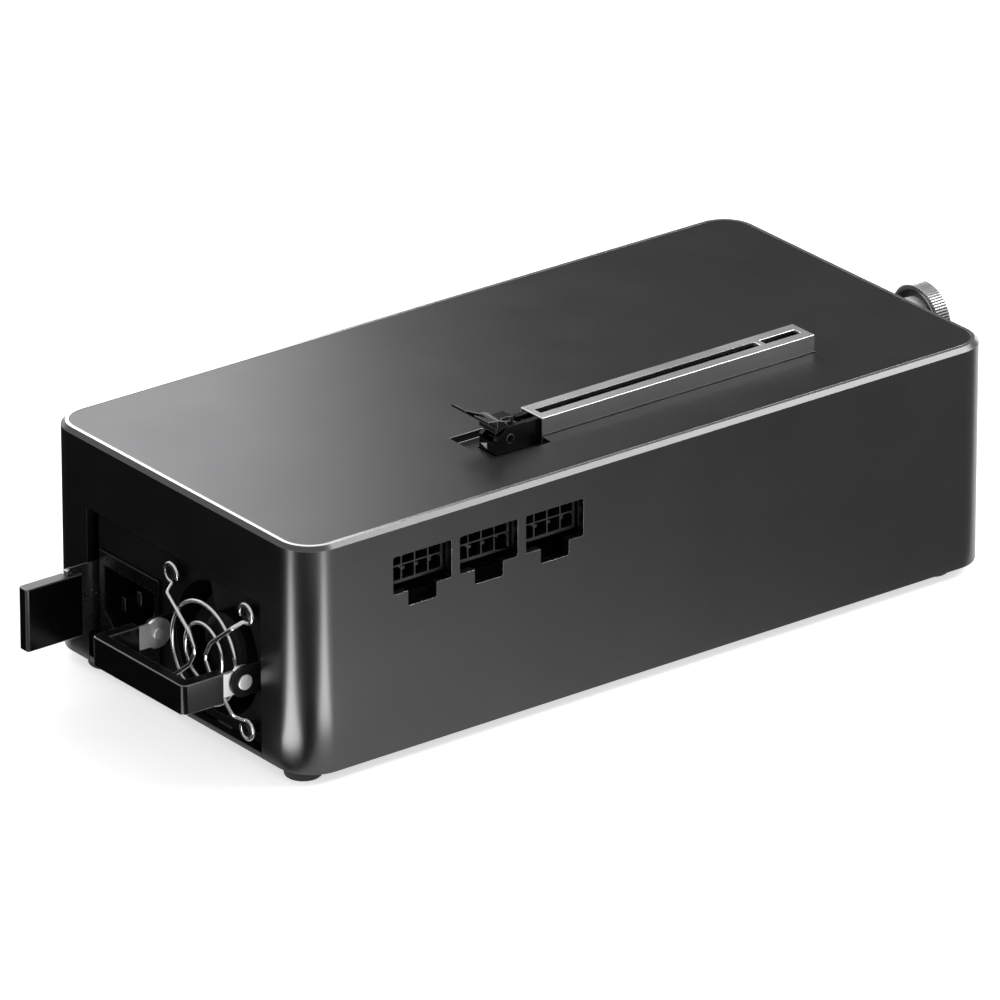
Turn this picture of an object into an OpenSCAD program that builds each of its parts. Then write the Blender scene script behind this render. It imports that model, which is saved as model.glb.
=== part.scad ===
// Expansion chassis: a desktop box that feeds one full-length card on its top face.
// X runs along the box, the supply end is at -X, the socket side at -Y, Z is up.
// The origin lies under the middle of the whole object, on the surface it stands on.

/* [Body] */
// Length of the body along X
body_l = 224; // [214:1:260]
// Width of the body along Y
body_w = 110; // [106:1:140]
// Height of the body without its feet
body_h = 62.4; // [61:0.2:80]
// Radius of the four upright corners
corner_r = 10; // [8:0.5:14]
// Thickness of the body's walls
wall_t = 2.6; // [2.4:0.1:3.6]
// Bevel round the top edge
edge_bevel = 1.1; // [0.6:0.1:1.3]
// Flat rim inside the bevel
rim_w = 1; // [0.6:0.1:1.2]
// Thickness of the inset top panel
panel_t = 3.6; // [3:0.1:4]
// Depth of the panel's pocket round the card latch
pocket_d = 2.1; // [1.5:0.1:2.5]
// Width of the ledge that carries the top panel
ledge_w = 1.8; // [1.2:0.1:3]
// Height of that ledge
ledge_h = 1; // [0.8:0.1:1.1]
// Thickness of the bottom plate
floor_t = 1.5; // [1:0.1:2]
// Radius of the screw columns in the corners
column_r = 4.2; // [3.6:0.1:5]
// Distance of the columns from the outer faces
column_inset = 8; // [7.5:0.1:9]

/* [Feet] */
// Height of the rubber feet
foot_h = 3; // [2:0.1:6]
// Radius of a foot at the top
foot_r = 5; // [4:0.1:7]
// Rounding of a foot's lower edge
foot_round = 0.7; // [0.3:0.1:1.2]
// Distance of the feet from the supply end
foot_in_supply = 6.5; // [6:0.1:12]
// Distance of the feet from the bracket end
foot_in_bracket = 13; // [8:0.1:30]
// Distance of the feet from the socket side
foot_in_socket = 8.9; // [6.5:0.1:14]
// Distance of the feet from the back side
foot_in_back = 16.5; // [8:0.1:22]

/* [Power sockets] */
// Number of sockets
socket_count = 3; // [1:1:4]
// Distance from one socket to the next
socket_pitch = 21; // [20:0.1:24]
// First socket's centre from the supply end
socket_first = 37.6; // [30:0.1:50]
// Width of a socket's opening
socket_w = 18.4; // [18.2:0.1:19]
// Height of a socket's opening
socket_h = 10.3; // [10:0.1:11]
// Top of the openings below the body's top edge
socket_down = 8.6; // [8:0.1:9]
// Width of the notch for the plug's latch
notch_w = 9; // [7:0.1:10]
// Depth of that notch
notch_h = 4.1; // [3:0.1:5]
// Corner radius of the openings
socket_r = 0.6; // [0.3:0.1:0.8]
// Pitch of the contacts
cell_pitch = 4.2; // [4.2:0.1:4.2]
// Size of a contact cell
cell_w = 3.8; // [3.2:0.1:3.8]
// Columns of contacts
cell_cols = 4; // [2:1:4]
// Length of a header
header_l = 12.8; // [10:0.1:14]
// Depth of the header's face behind the body's surface
header_in = 3.2; // [3.1:0.1:5]

/* [Card slot] */
// Length of the slot's steel cladding
slot_l = 89; // [89:1:89]
// Width of the cladding
slot_w = 9; // [8.6:0.1:10]
// Height of the slot's top above the top panel
slot_rise = 4.9; // [3:0.1:6]
// Height of the slot above its board
slot_h = 11.4; // [11:0.1:13]
// Thickness of the cladding
clad_t = 0.4; // [0.3:0.05:0.6]
// Width of the slot's mouth
mouth_w = 2.7; // [2.5:0.1:3.2]
// Length of the mouth's long part
mouth_long = 71.65; // [71.65:0.01:71.65]
// Length of its short part
mouth_short = 11.65; // [11.65:0.01:11.65]
// Width of the key rib between the two
key_w = 1.75; // [1.6:0.01:1.9]
// Slot's end from the bracket end of the body
slot_from_end = 42.4; // [38:0.1:60]
// Slot's centre line from the socket side
slot_from_side = 26.5; // [20:0.1:40]
// Contacts in each row
contact_rows_n = 82; // [40:1:82]
// Pitch of the slot's contacts
contact_pitch = 1; // [1:0.1:1]

/* [Card latch] */
// Length of the slot's tail
tail_l = 14.1; // [13.5:0.1:17]
// Length of the tail's block, which carries the latch lever
block_l = 10.6; // [10.4:0.1:11.5]
// Width of the tail's block
tail_w = 7.1; // [6.8:0.1:8]
// Width of the neck between the block and the slot
neck_w = 6; // [5:0.1:6.6]
// Thickness of the tail's two cheeks
cheek_t = 1.3; // [1:0.1:1.8]
// Width of the lever across its two thumb wings
lever_w = 15.6; // [12:0.1:17]
// Gap between the two wings
wing_gap = 3.8; // [3:0.1:5]
// Radius of the lever's trunnions
trunnion_r = 1.2; // [0.8:0.05:1.5]
// Reach of the wings beyond the tail's end
wing_reach = 5.7; // [4:0.1:7]
// Height of the wing tips above the top panel
wing_rise = 10.1; // [8:0.1:12]
// Half width of the panel's pocket round the lever
well_half = 8.8; // [8.4:0.1:10]

/* [Bay] */
// Room between the supply's opening and the body's outer face on each side
bay_side = 17.7; // [17:0.1:20]
// Room above the opening for the board and the sockets
bay_head = 19.4; // [19:0.1:24]

/* [Power supply] */
// Room behind the supply's case for its receptacle and the backplane
supply_back = 36.4; // [34:0.1:60]
// Room beside the case for its latch
latch_room = 1.45; // [1.4:0.05:2]
// Gap above the case
lid_gap = 1.1; // [0.6:0.1:2]
// Thickness of its sheet steel
sheet_t = 0.8; // [0.6:0.05:1]
// Depth of the supply's face behind the end of the body
face_in = 2.6; // [2:0.1:4]
// Bare metal between the fan and the mains inlet's flange
inlet_gap = 4.8; // [4:0.1:8]
// Height of that flange
inlet_h = 24.6; // [18:0.1:26]
// Height of the inlet's cavity
cavity_h = 16.5; // [16.4:0.1:17]
// Depth of the inlet's cavity
cavity_d = 15; // [14:0.1:18]

/* [Fan] */
// Gap between the fan frame and the case, above and below
fan_gap = 0.2; // [0.1:0.05:0.6]
// Depth of the fan frame
fan_d = 20; // [15:0.5:28]
// Distance of the fan's screws from the sides of its frame
fan_hole_in = 3; // [3:0.1:4]
// Thickness of the frame at the middle of its sides
fan_rim = 1.2; // [1:0.1:2]
// Fan frame's distance from the case's socket side
fan_edge = 2.55; // [2:0.05:6]
// Radius of the guard's wire
wire_r = 0.6; // [0.5:0.05:0.8]
// Number of fan blades
blade_count = 7; // [5:1:9]

/* [Handle] */
// Width of the handle beyond the fan frame's
handle_wide = 1.4; // [1:0.1:3]
// Thickness of the handle's grip
grip_t = 3.4; // [3:0.1:4]
// Height of the handle's grip
grip_h = 8.2; // [7:0.1:9]
// Reach of the handle in front of its pivot
handle_reach = 19.4; // [17:0.1:24]
// Pivot in front of the supply's face
pivot_out = 5.6; // [5:0.1:7]
// Radius of the handle's eyes
eye_r = 4.1; // [3.6:0.1:4.4]
// Radius of the two rivets
rivet_r = 1.3; // [1:0.05:1.6]

/* [Supply latch] */
// Length of the latch blade
blade_l = 17.6; // [14:0.1:22]
// Height of the latch blade
blade_h = 17.4; // [14:0.1:19]
// Thickness of the latch blade
blade_t = 3.8; // [3:0.1:4.5]
// Thickness of the spring strip
strip_t = 0.5; // [0.4:0.05:0.6]
// Length of the spring strip behind the supply's face
strip_back = 21.4; // [18:0.1:26]
// Reach of the catch's tooth
tooth_out = 1.85; // [1.6:0.05:2]

/* [Bracket screw] */
// Radius of the knurled head
knob_r = 10; // [8:0.1:12]
// Thickness of the knurled head
knob_t = 4.8; // [4:0.1:7]
// Radius of the collar
collar_r = 6.5; // [5:0.1:7]
// Length of the collar
collar_l = 3.6; // [2:0.1:8]
// Radius of the screw's thread
stud_r = 2.5; // [2:0.1:3]
// Length of the screw's thread behind the collar
stud_l = 12; // [10:0.1:16]
// Number of knurls
knurl_n = 80; // [40:1:90]
// Screw's centre from the socket side
knob_from_side = 37.9; // [34:0.1:60]
// Screw's centre below the body's top edge
knob_down = 8.6; // [8:0.1:14]

/* [Hidden] */
$fn = 64;

// Clearances: overrun of cuts, a running fit, a loose fit and a gap between seated sheets
over = 1;
run_gap = 0.05;
loose_gap = 0.3;
seat_gap = 0.15;
washer_t = 0.6;

// Sizes of the bay, the supply and its fan follow the body's
glide_h = 0.35;
glide_w = 6;
bay_gap = 0.55;
inlet_in = 1.45;
bay_w = body_w - 2 * bay_side;
bay_top = body_h - bay_head;
supply_l = body_l - face_in - supply_back;
supply_w = bay_w - bay_gap - latch_room;
supply_h = bay_top - floor_t - glide_h - run_gap - lid_gap;
fan_size = supply_h - 2 * (sheet_t + fan_gap);
fan_holes = fan_size - 2 * fan_hole_in;
fan_r = fan_size / 2 - fan_rim;
fan_in = fan_edge + fan_size / 2;
inlet_w = supply_w - fan_edge - fan_size - inlet_gap - inlet_in;
handle_w = fan_size + handle_wide;

// The body's faces in the object's frame
knob_reach = washer_t + collar_l + knob_t;
body_cx = (handle_reach + pivot_out - face_in - knob_reach) / 2;
x_supply = body_cx - body_l / 2;
x_bracket = body_cx + body_l / 2;
y_socket = -body_w / 2;
y_back = body_w / 2;
z_low = foot_h;
z_top = foot_h + body_h;
z_floor = z_low + floor_t;
z_panel = z_top - panel_t;
panel_in = edge_bevel + rim_w;

// The slot, its board and the latch lever
slot_x1 = x_bracket - slot_from_end;
slot_x0 = slot_x1 - slot_l;
slot_y = y_socket + slot_from_side;
slot_z = z_top + slot_rise;
board_t = 1.6;
board_z1 = slot_z - slot_h;
board_z0 = board_z1 - board_t;
housing_w = slot_w - 2 * (clad_t + run_gap);
mouth_end = (slot_l - mouth_long - key_w - mouth_short) / 2;
mouth_d = 8.9;
lip_d = 1.2;
clad_flange = 1.1;
contact_t = 0.35;
contact_w = 0.6;
contact_h = 6.5;
tail_x0 = slot_x0 - tail_l;
trunnion_in = 4.6;
trunnion_rise = 1.5;
lever_x = tail_x0 + trunnion_in;
lever_z = z_top + trunnion_rise;
cheek_z = slot_z;
cheek_slope_l = 3.7;
cheek_slope_h = 3;
cheek_round = 1;
tail_front_t = 0.8;
tail_front_rise = 0.7;
tail_front_z = z_top + tail_front_rise;
lever_stem_w = tail_w - 2 * (cheek_t + seat_gap);
lever_turn = 22;

// Panel cut-out and pocket round the slot and the lever
cut_gap = 0.35;
well_l = 5.5;
well_x0 = tail_x0 - well_l;

// The bay, the supply and its face
supply_x0 = x_supply + face_in;
supply_x1 = supply_x0 + supply_l;
supply_y0 = -bay_w / 2 + bay_gap;
supply_y1 = supply_y0 + supply_w;
supply_z0 = z_floor + glide_h + run_gap;
supply_z1 = supply_z0 + supply_h;
supply_zc = (supply_z0 + supply_z1) / 2;
fan_y = supply_y0 + fan_in;
fan_z = supply_zc;
axle_x = supply_x0 - pivot_out;
axle_down = 0.8;
axle_z = supply_zc - axle_down;
arm_y = handle_w / 2 - grip_t / 2;

// Colours
aluminium_dark = [0.24, 0.24, 0.25];
aluminium_panel = [0.3, 0.3, 0.31];
steel = [0.72, 0.72, 0.73];
black = [0.05, 0.05, 0.055];
rubber = [0.03, 0.03, 0.03];
board_green = [0.04, 0.07, 0.06];
gold = [0.83, 0.66, 0.3];
copper = [0.72, 0.42, 0.25];
bright = [0.8, 0.8, 0.8];

// A rounded rectangle of length l and width w
module round_rect(l, w, r) {
  square([l - 2 * r, w], center = true);
  square([l, w - 2 * r], center = true);
  for (sx = [-1, 1], sy = [-1, 1])
    translate([sx * (l / 2 - r), sy * (w / 2 - r)]) circle(r);
}

// The body's outline, drawn in by inset, from z0 to z1
module body_slab(inset, z0, z1) {
  translate([body_cx, 0, z0])
    linear_extrude(z1 - z0) round_rect(body_l - 2 * inset, body_w - 2 * inset, corner_r - inset);
}

// The bevelled layer on top of the body
module bevel_cap() {
  flat_l = body_l - 2 * corner_r;
  flat_w = body_w - 2 * corner_r;
  section = [[0, 0], [1, 0], [1 - edge_bevel / corner_r, edge_bevel / corner_r], [0, edge_bevel / corner_r]];
  translate([body_cx, 0, z_top - edge_bevel]) {
    for (q = [0 : 3])
      translate([(q == 0 || q == 3 ? 1 : -1) * flat_l / 2, (q < 2 ? 1 : -1) * flat_w / 2, 0])
        rotate([0, 0, 90 * q]) rotate_extrude(angle = 90) polygon(section * corner_r);
    rotate([90, 0, 90]) linear_extrude(flat_l, center = true)
      polygon([[-body_w / 2, 0], [body_w / 2, 0], [body_w / 2 - edge_bevel, edge_bevel],
        [-body_w / 2 + edge_bevel, edge_bevel]]);
    rotate([90, 0, 0]) linear_extrude(flat_w, center = true)
      polygon([[-body_l / 2, 0], [body_l / 2, 0], [body_l / 2 - edge_bevel, edge_bevel],
        [-body_l / 2 + edge_bevel, edge_bevel]]);
  }
}

// Places of the screw columns
column_x = body_l / 2 - column_inset;
column_y = body_w / 2 - column_inset;
module at_columns() {
  for (sx = [-1, 1], sy = [-1, 1])
    translate([body_cx + sx * column_x, sy * column_y, 0]) children();
}

// One socket opening with its latch notch, cut along Y
socket_x = [for (i = [0 : socket_count - 1]) x_supply + socket_first + i * socket_pitch];
module socket_cut(x) {
  translate([x, y_socket + wall_t + over, z_top - socket_down - socket_h / 2])
    rotate([90, 0, 0]) linear_extrude(wall_t + 2 * over) {
      round_rect(socket_w, socket_h, socket_r);
      translate([0, -(socket_h + notch_h) / 2 + socket_r]) round_rect(notch_w, notch_h + 2 * socket_r, socket_r);
    }
}

// The host port's place on the back wall
port_w = 19;
port_h = 5.6;
port_l = 14;
port_from_end = 48;
port_x = x_bracket - port_from_end;
port_z1 = board_z0;

// The bracket screw's axis
knob_y = y_socket + knob_from_side;
knob_z = z_top - knob_down;
bush_r = 3.5;
bush_flange_r = 3.9;
bush_flange_t = 1;
bush_l = 6;

module shell() {
  color(aluminium_dark) difference() {
    union() {
      difference() {
        union() {
          body_slab(0, z_low, z_top - edge_bevel);
          bevel_cap();
        }
        body_slab(wall_t, z_low - over, z_panel - ledge_h);
        body_slab(wall_t + ledge_w, z_low, z_top + over);
        body_slab(panel_in, z_panel, z_top + over);
      }
      intersection() {
        body_slab(wall_t / 2, z_floor, z_panel - ledge_h / 2);
        at_columns() translate([0, 0, z_floor]) cylinder(h = z_panel - ledge_h / 2 - z_floor, r = column_r);
      }
    }
    translate([x_supply - over, -bay_w / 2, z_low - over]) cube([wall_t + 2 * over, bay_w, bay_top + over]);
    for (x = socket_x) socket_cut(x);
    translate([port_x - port_w / 2 - loose_gap, y_back - wall_t - over, port_z1 - port_h - loose_gap])
      cube([port_w + 2 * loose_gap, wall_t + 2 * over, port_h + loose_gap]);
    translate([x_bracket - wall_t - over, knob_y, knob_z]) rotate([0, 90, 0])
      cylinder(h = wall_t + 2 * over, r = bush_r);
    at_columns() translate([0, 0, z_floor - over]) cylinder(h = screw_l + 2 * over, r = screw_r);
  }
}

// The inset top panel with its cut-out for the slot and its pocket for the card latch
module top_panel() {
  color(aluminium_panel) difference() {
    body_slab(panel_in + seat_gap, z_panel, z_top);
    translate([slot_x0 - cut_gap, slot_y - slot_w / 2 - cut_gap, z_panel - over])
      cube([slot_l + 2 * cut_gap, slot_w + 2 * cut_gap, panel_t + 2 * over]);
    translate([tail_x0 - cut_gap, slot_y - tail_w / 2 - cut_gap, z_panel - over])
      cube([tail_l + cut_gap, tail_w + 2 * cut_gap, panel_t + 2 * over]);
    translate([well_x0, slot_y - well_half, z_top - pocket_d])
      cube([slot_x0 - cut_gap - well_x0, 2 * well_half, pocket_d + over]);
  }
}

// Screws of the bottom plate
screw_r = 1.5;
screw_l = 8;
screw_head_r = 3;
screw_head_h = 1.3;
vent_w = 3;
vent_l = 34;
vent_n = 7;
vent_pitch = 7;
vent_from_end = 24;
bay_tab_gap = 0.2;

module bottom_plate() {
  tab_w = bay_w - 2 * bay_tab_gap;
  color(aluminium_dark) difference() {
    union() {
      body_slab(wall_t + seat_gap, z_low, z_floor);
      translate([x_supply, -tab_w / 2, z_low]) cube([wall_t + corner_r, tab_w, floor_t]);
      for (sy = [-1, 1])
        translate([supply_x0, sy * supply_w / 4 - glide_w / 2, z_floor - seat_gap])
          cube([supply_l, glide_w, glide_h + seat_gap]);
    }
    at_columns() {
      translate([0, 0, z_low - over]) cylinder(h = floor_t + 2 * over, r = screw_r + run_gap);
      translate([0, 0, z_low - run_gap])
        cylinder(h = screw_head_h + run_gap, r1 = screw_head_r + run_gap, r2 = screw_r + run_gap);
    }
    for (i = [0 : vent_n - 1])
      translate([x_bracket - vent_from_end - i * vent_pitch, -vent_l / 2, z_low - over])
        cube([vent_w, vent_l, floor_t + 2 * over]);
  }
}

// Countersunk screws up into the corner columns
hex_socket_r = 1.1;
hex_socket_d = 0.8;
module bottom_screws() {
  color(steel) at_columns() difference() {
    union() {
      translate([0, 0, z_low]) cylinder(h = screw_head_h, r1 = screw_head_r, r2 = screw_r);
      translate([0, 0, z_low]) cylinder(h = screw_l, r = screw_r);
    }
    translate([0, 0, z_low - over]) cylinder(h = hex_socket_d + over, r = hex_socket_r, $fn = 6);
  }
}

module feet() {
  profile = [[0, 0], [foot_r - foot_round, 0], [foot_r, foot_round], [foot_r, foot_h], [0, foot_h]];
  color(rubber)
    for (x = [x_supply + foot_in_supply, x_bracket - foot_in_bracket],
         y = [y_socket + foot_in_socket, y_back - foot_in_back])
      translate([x, y, 0]) rotate_extrude() polygon(profile);
}

// The main board hangs under the top panel on six standoffs
board_gap = 1.5;
board_end_gap = 12;
board_x0 = x_supply + wall_t + board_end_gap;
board_x1 = x_bracket - wall_t - board_end_gap;
board_y0 = y_socket + wall_t + board_gap;
board_y1 = y_back - wall_t - board_gap;
board_screw_r = 1.5;
standoff_r = 3;
hole_in = 7;
board_holes = [for (x = [board_x0 + hole_in, body_cx, board_x1 - hole_in],
  y = [board_y0 + hole_in, board_y1 - hole_in]) [x, y]];
module at_board_holes() {
  for (p = board_holes) translate([p[0], p[1], 0]) children();
}

module main_board() {
  color(board_green) difference() {
    translate([board_x0, board_y0, board_z0]) cube([board_x1 - board_x0, board_y1 - board_y0, board_t]);
    at_board_holes() translate([0, 0, board_z0 - over]) cylinder(h = board_t + 2 * over, r = board_screw_r + seat_gap);
    at_columns() translate([0, 0, board_z0 - over]) cylinder(h = board_t + 2 * over, r = column_r + board_gap);
  }
}

module board_standoffs() {
  color(steel) at_board_holes() difference() {
    translate([0, 0, board_z1]) cylinder(h = z_panel - board_z1, r = standoff_r);
    translate([0, 0, board_z1 - over]) cylinder(h = z_panel - board_z1, r = board_screw_r);
  }
}

board_head_h = 1.8;
board_head_r = 2.8;
module board_screws() {
  grip = z_panel - board_z1 - 2 * over;
  color(steel) at_board_holes() difference() {
    union() {
      translate([0, 0, board_z0 - board_head_h]) cylinder(h = board_head_h, r = board_head_r);
      translate([0, 0, board_z0]) cylinder(h = board_t + grip, r = board_screw_r);
    }
    translate([0, 0, board_z0 - board_head_h - over]) cylinder(h = over + hex_socket_d, r = hex_socket_r, $fn = 6);
  }
}

// The two parts of the slot's mouth, [start, length] along X
mouth_parts = [[slot_x0 + mouth_end, mouth_long], [slot_x0 + mouth_end + mouth_long + key_w, mouth_short]];

module cheek_profile() {
  polygon([[tail_x0, board_z1], [tail_x0 + block_l, board_z1], [tail_x0 + block_l, cheek_z - cheek_round],
    [tail_x0 + block_l - cheek_round, cheek_z], [tail_x0 + cheek_slope_l, cheek_z],
    [tail_x0, cheek_z - cheek_slope_h]]);
}

// The black plastic slot body, with a neck and the block that carries the lever, one moulding
module slot_housing() {
  top = slot_z - clad_t - run_gap;
  color(black) difference() {
    union() {
      translate([slot_x0, slot_y - housing_w / 2, board_z1])
        cube([slot_l - clad_t - run_gap, housing_w, top - board_z1]);
      translate([tail_x0 + block_l - over, slot_y - neck_w / 2, board_z1])
        cube([tail_l - block_l + 2 * over, neck_w, top - board_z1]);
      translate([0, slot_y + tail_w / 2, 0]) rotate([90, 0, 0]) linear_extrude(tail_w) cheek_profile();
    }
    for (m = mouth_parts) {
      translate([m[0], slot_y - mouth_w / 2, top - mouth_d]) cube([m[1], mouth_w, mouth_d + over]);
      translate([m[0] - clad_t - run_gap, slot_y - mouth_w / 2 - clad_t - run_gap, top - lip_d])
        cube([m[1] + 2 * (clad_t + run_gap), mouth_w + 2 * (clad_t + run_gap), lip_d + over]);
    }
    translate([tail_x0 + tail_front_t, slot_y - tail_w / 2 + cheek_t, lever_z - lever_foot_r - loose_gap])
      cube([block_l - tail_front_t - cheek_t, tail_w - 2 * cheek_t, slot_h]);
    translate([tail_x0 - over, slot_y - tail_w / 2 + cheek_t, tail_front_z])
      cube([block_l, tail_w - 2 * cheek_t, slot_h]);
    translate([tail_x0 + block_l - cheek_t - over, slot_y - mouth_w / 2, top - mouth_d])
      cube([tail_l - block_l + cheek_t + mouth_end + 2 * over, mouth_w, mouth_d + 2 * over]);
    translate([lever_x, slot_y, lever_z]) rotate([90, 0, 0])
      cylinder(h = tail_w + 2 * over, r = trunnion_r + run_gap, center = true);
  }
}

// Folded steel round the slot's sides, top and bracket end
module slot_cladding() {
  color(steel) difference() {
    union() {
      difference() {
        translate([slot_x0, slot_y - slot_w / 2, board_z1]) cube([slot_l, slot_w, slot_z - board_z1]);
        translate([slot_x0 - over, slot_y - slot_w / 2 + clad_t, board_z1 - over])
          cube([slot_l - clad_t + over, slot_w - 2 * clad_t, slot_z - clad_t - board_z1 + over]);
      }
      for (m = mouth_parts)
        translate([m[0] - clad_t, slot_y - mouth_w / 2 - clad_t, slot_z - clad_flange])
          cube([m[1] + 2 * clad_t, mouth_w + 2 * clad_t, clad_flange]);
    }
    for (m = mouth_parts)
      translate([m[0], slot_y - mouth_w / 2, board_z1]) cube([m[1], mouth_w, slot_h + over]);
  }
}

// Two rows of spring contacts inside the mouth
module slot_contacts() {
  z0 = slot_z - clad_t - run_gap - mouth_d;
  color(gold)
    for (i = [0 : contact_rows_n - 1], s = [-1, 1]) {
      along = i < mouth_short / contact_pitch - 1
        ? mouth_parts[1][0] + mouth_short - (i + 1) * contact_pitch
        : mouth_parts[0][0] + mouth_long - (i + 2 - floor(mouth_short / contact_pitch)) * contact_pitch;
      translate([along - contact_w / 2, slot_y + s * (mouth_w / 2 - contact_t / 2) - contact_t / 2, z0])
        cube([contact_w, contact_t, contact_h]);
    }
}

// The latch lever: a hooked stem between the cheeks, a head across them, two thumb wings and two trunnions
lever_foot_r = 2.6;
lever_top = z_top + wing_rise;
wing_tip_t = 0.8;
head_z = cheek_z + loose_gap;
head_drop = 1.3;
head_t = 2.4;
head_fall = 0.8;
head_bevel = 1.1;
hub_l = 6.6;
hook_l = 9;
hook_drop = 1;
hook_t = 1;
slit_w = 0.5;
slit_l = 2.7;
module head_profile() {
  polygon([[tail_x0, head_z - head_drop], [tail_x0 + cheek_slope_l, head_z],
    [tail_x0 + cheek_slope_l, head_z + head_t - head_fall - head_bevel],
    [tail_x0 + cheek_slope_l - head_bevel, head_z + head_t - head_fall], [tail_x0, head_z + head_t]]);
}
module stem_profile() {
  translate([lever_x, lever_z]) circle(lever_foot_r);
  polygon([[tail_x0, head_z - head_drop], [lever_x - lever_foot_r, lever_z], [lever_x + lever_foot_r, lever_z],
    [tail_x0 + hook_l, head_z - hook_drop - hook_t], [tail_x0 + hook_l, head_z - hook_drop],
    [tail_x0 + hub_l, head_z], [tail_x0 + hub_l, head_z + head_t - head_fall],
    [tail_x0 + cheek_slope_l - head_bevel, head_z + head_t - head_fall], [tail_x0, head_z + head_t]]);
}
module wing_profile() {
  polygon([[tail_x0 - wing_reach, lever_top - wing_tip_t], [tail_x0 - wing_reach, lever_top],
    [tail_x0, head_z + head_t], [tail_x0 + slit_w, head_z + head_t - head_fall],
    [tail_x0 + slit_w, head_z], [tail_x0, head_z]]);
}
module along_slot(width) {
  translate([0, slot_y + width / 2, 0]) rotate([90, 0, 0]) linear_extrude(width) children();
}
module retention_lever() {
  root = tail_x0 + slit_w;
  tip = tail_x0 - wing_reach;
  color(black) difference() {
    union() {
      along_slot(lever_stem_w) stem_profile();
      along_slot(tail_w) head_profile();
      intersection() {
        along_slot(lever_w) wing_profile();
        translate([0, slot_y, lever_z]) linear_extrude(lever_top - z_top)
          polygon([[root, -tail_w / 2], [root, tail_w / 2], [tip, lever_w / 2], [tip, wing_gap / 2],
            [tail_x0 - over, wing_gap / 2], [tail_x0 - over, -wing_gap / 2], [tip, -wing_gap / 2],
            [tip, -lever_w / 2]]);
      }
      translate([lever_x, slot_y, lever_z]) rotate([90, 0, 0]) cylinder(h = tail_w, r = trunnion_r, center = true);
    }
    translate([tail_x0 + hub_l - over - slit_l, slot_y - lever_stem_w / 2, head_z + slit_w])
      cube([slit_l, slit_w, head_t]);
  }
}

// One eight-way power header on the underside of the board
header_wall = 0.6;
header_w = cell_cols * cell_pitch + 2 * header_wall;
header_h = 2 * cell_pitch + 2 * header_wall;
header_y0 = y_socket + header_in;
header_z1 = board_z0;
header_z0 = header_z1 - header_h;
header_back_t = 2;
latch_ramp_w = 6;
latch_ramp_h = 1.4;
latch_ramp_l = 3;
cell_round = 1.5;
module cell_cut(domed) {
  rotate([90, 0, 0]) linear_extrude(header_l, center = true)
    if (domed) {
      translate([0, -cell_round / 2]) square([cell_w, cell_w - cell_round], center = true);
      square([cell_w - 2 * cell_round, cell_w], center = true);
      for (s = [-1, 1]) translate([s * (cell_w / 2 - cell_round), cell_w / 2 - cell_round]) circle(cell_round);
    } else
      square([cell_w, cell_w], center = true);
}
module power_header(i) {
  x = socket_x[i];
  color(black) difference() {
    union() {
      translate([x - header_w / 2, header_y0, header_z0]) cube([header_w, header_l, header_h]);
      translate([x + latch_ramp_w / 2, header_y0 + header_wall, header_z0]) rotate([0, -90, 0])
        linear_extrude(latch_ramp_w)
          polygon([[0, 0], [-latch_ramp_h, latch_ramp_l], [0, latch_ramp_l + header_wall]]);
    }
    for (c = [0 : cell_cols - 1], r = [0, 1])
      translate([x + (c - (cell_cols - 1) / 2) * cell_pitch, header_y0 + header_l / 2 - header_back_t,
        (header_z0 + header_z1) / 2 + (r - 1 / 2) * cell_pitch])
        cell_cut(r == 0 && (c == 0 || c == cell_cols - 1));
  }
}
module power_header_1() { power_header(0); }
module power_header_2() { power_header(min(1, socket_count - 1)); }
module power_header_3() { power_header(min(2, socket_count - 1)); }

// The pins of the headers, standing in their cells
pin_w = 1.1;
pin_l = 9;
module header_pins() {
  color(steel)
    for (x = socket_x, c = [0 : cell_cols - 1], r = [0, 1])
      translate([x + (c - (cell_cols - 1) / 2) * cell_pitch - pin_w / 2,
        header_y0 + header_l - header_back_t - pin_l,
        (header_z0 + header_z1) / 2 + (r - 1 / 2) * cell_pitch - pin_w / 2])
        cube([pin_w, pin_l, pin_w]);
}

// Signal chip and capacitors on the board
chip_w = 14;
chip_h = 1.6;
chip_gap_y = 12;
module signal_chip() {
  color(black) translate([slot_x0 + slot_l / 2 - chip_w / 2, slot_y + chip_gap_y, board_z1])
    cube([chip_w, chip_w, chip_h]);
}
can_r = 4;
can_h = 8.5;
can_n = 5;
can_pitch = 10;
can_from_side = 26;
module board_capacitors() {
  color(bright)
    for (i = [0 : can_n - 1])
      translate([x_supply + socket_first + i * can_pitch, y_back - can_from_side, board_z0 - can_h])
        cylinder(h = can_h, r = can_r);
}

// Host port on the back wall: a steel shell round a contact tongue
port_t = 0.4;
tongue_h = 1.2;
tongue_l = 9;
module host_port_shell() {
  color(steel) difference() {
    translate([port_x - port_w / 2, y_back - loose_gap - port_l, port_z1 - port_h]) cube([port_w, port_l, port_h]);
    translate([port_x - port_w / 2 + port_t, y_back - loose_gap - port_l + 2 * over, port_z1 - port_h + port_t])
      cube([port_w - 2 * port_t, port_l, port_h - 2 * port_t]);
  }
}
module host_port_tongue() {
  color(black) translate([port_x - port_w / 2 + 2 * over, y_back - loose_gap - port_l + 2 * over,
    port_z1 - port_h / 2 - tongue_h / 2])
    cube([port_w - 4 * over, tongue_l, tongue_h]);
}

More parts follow.
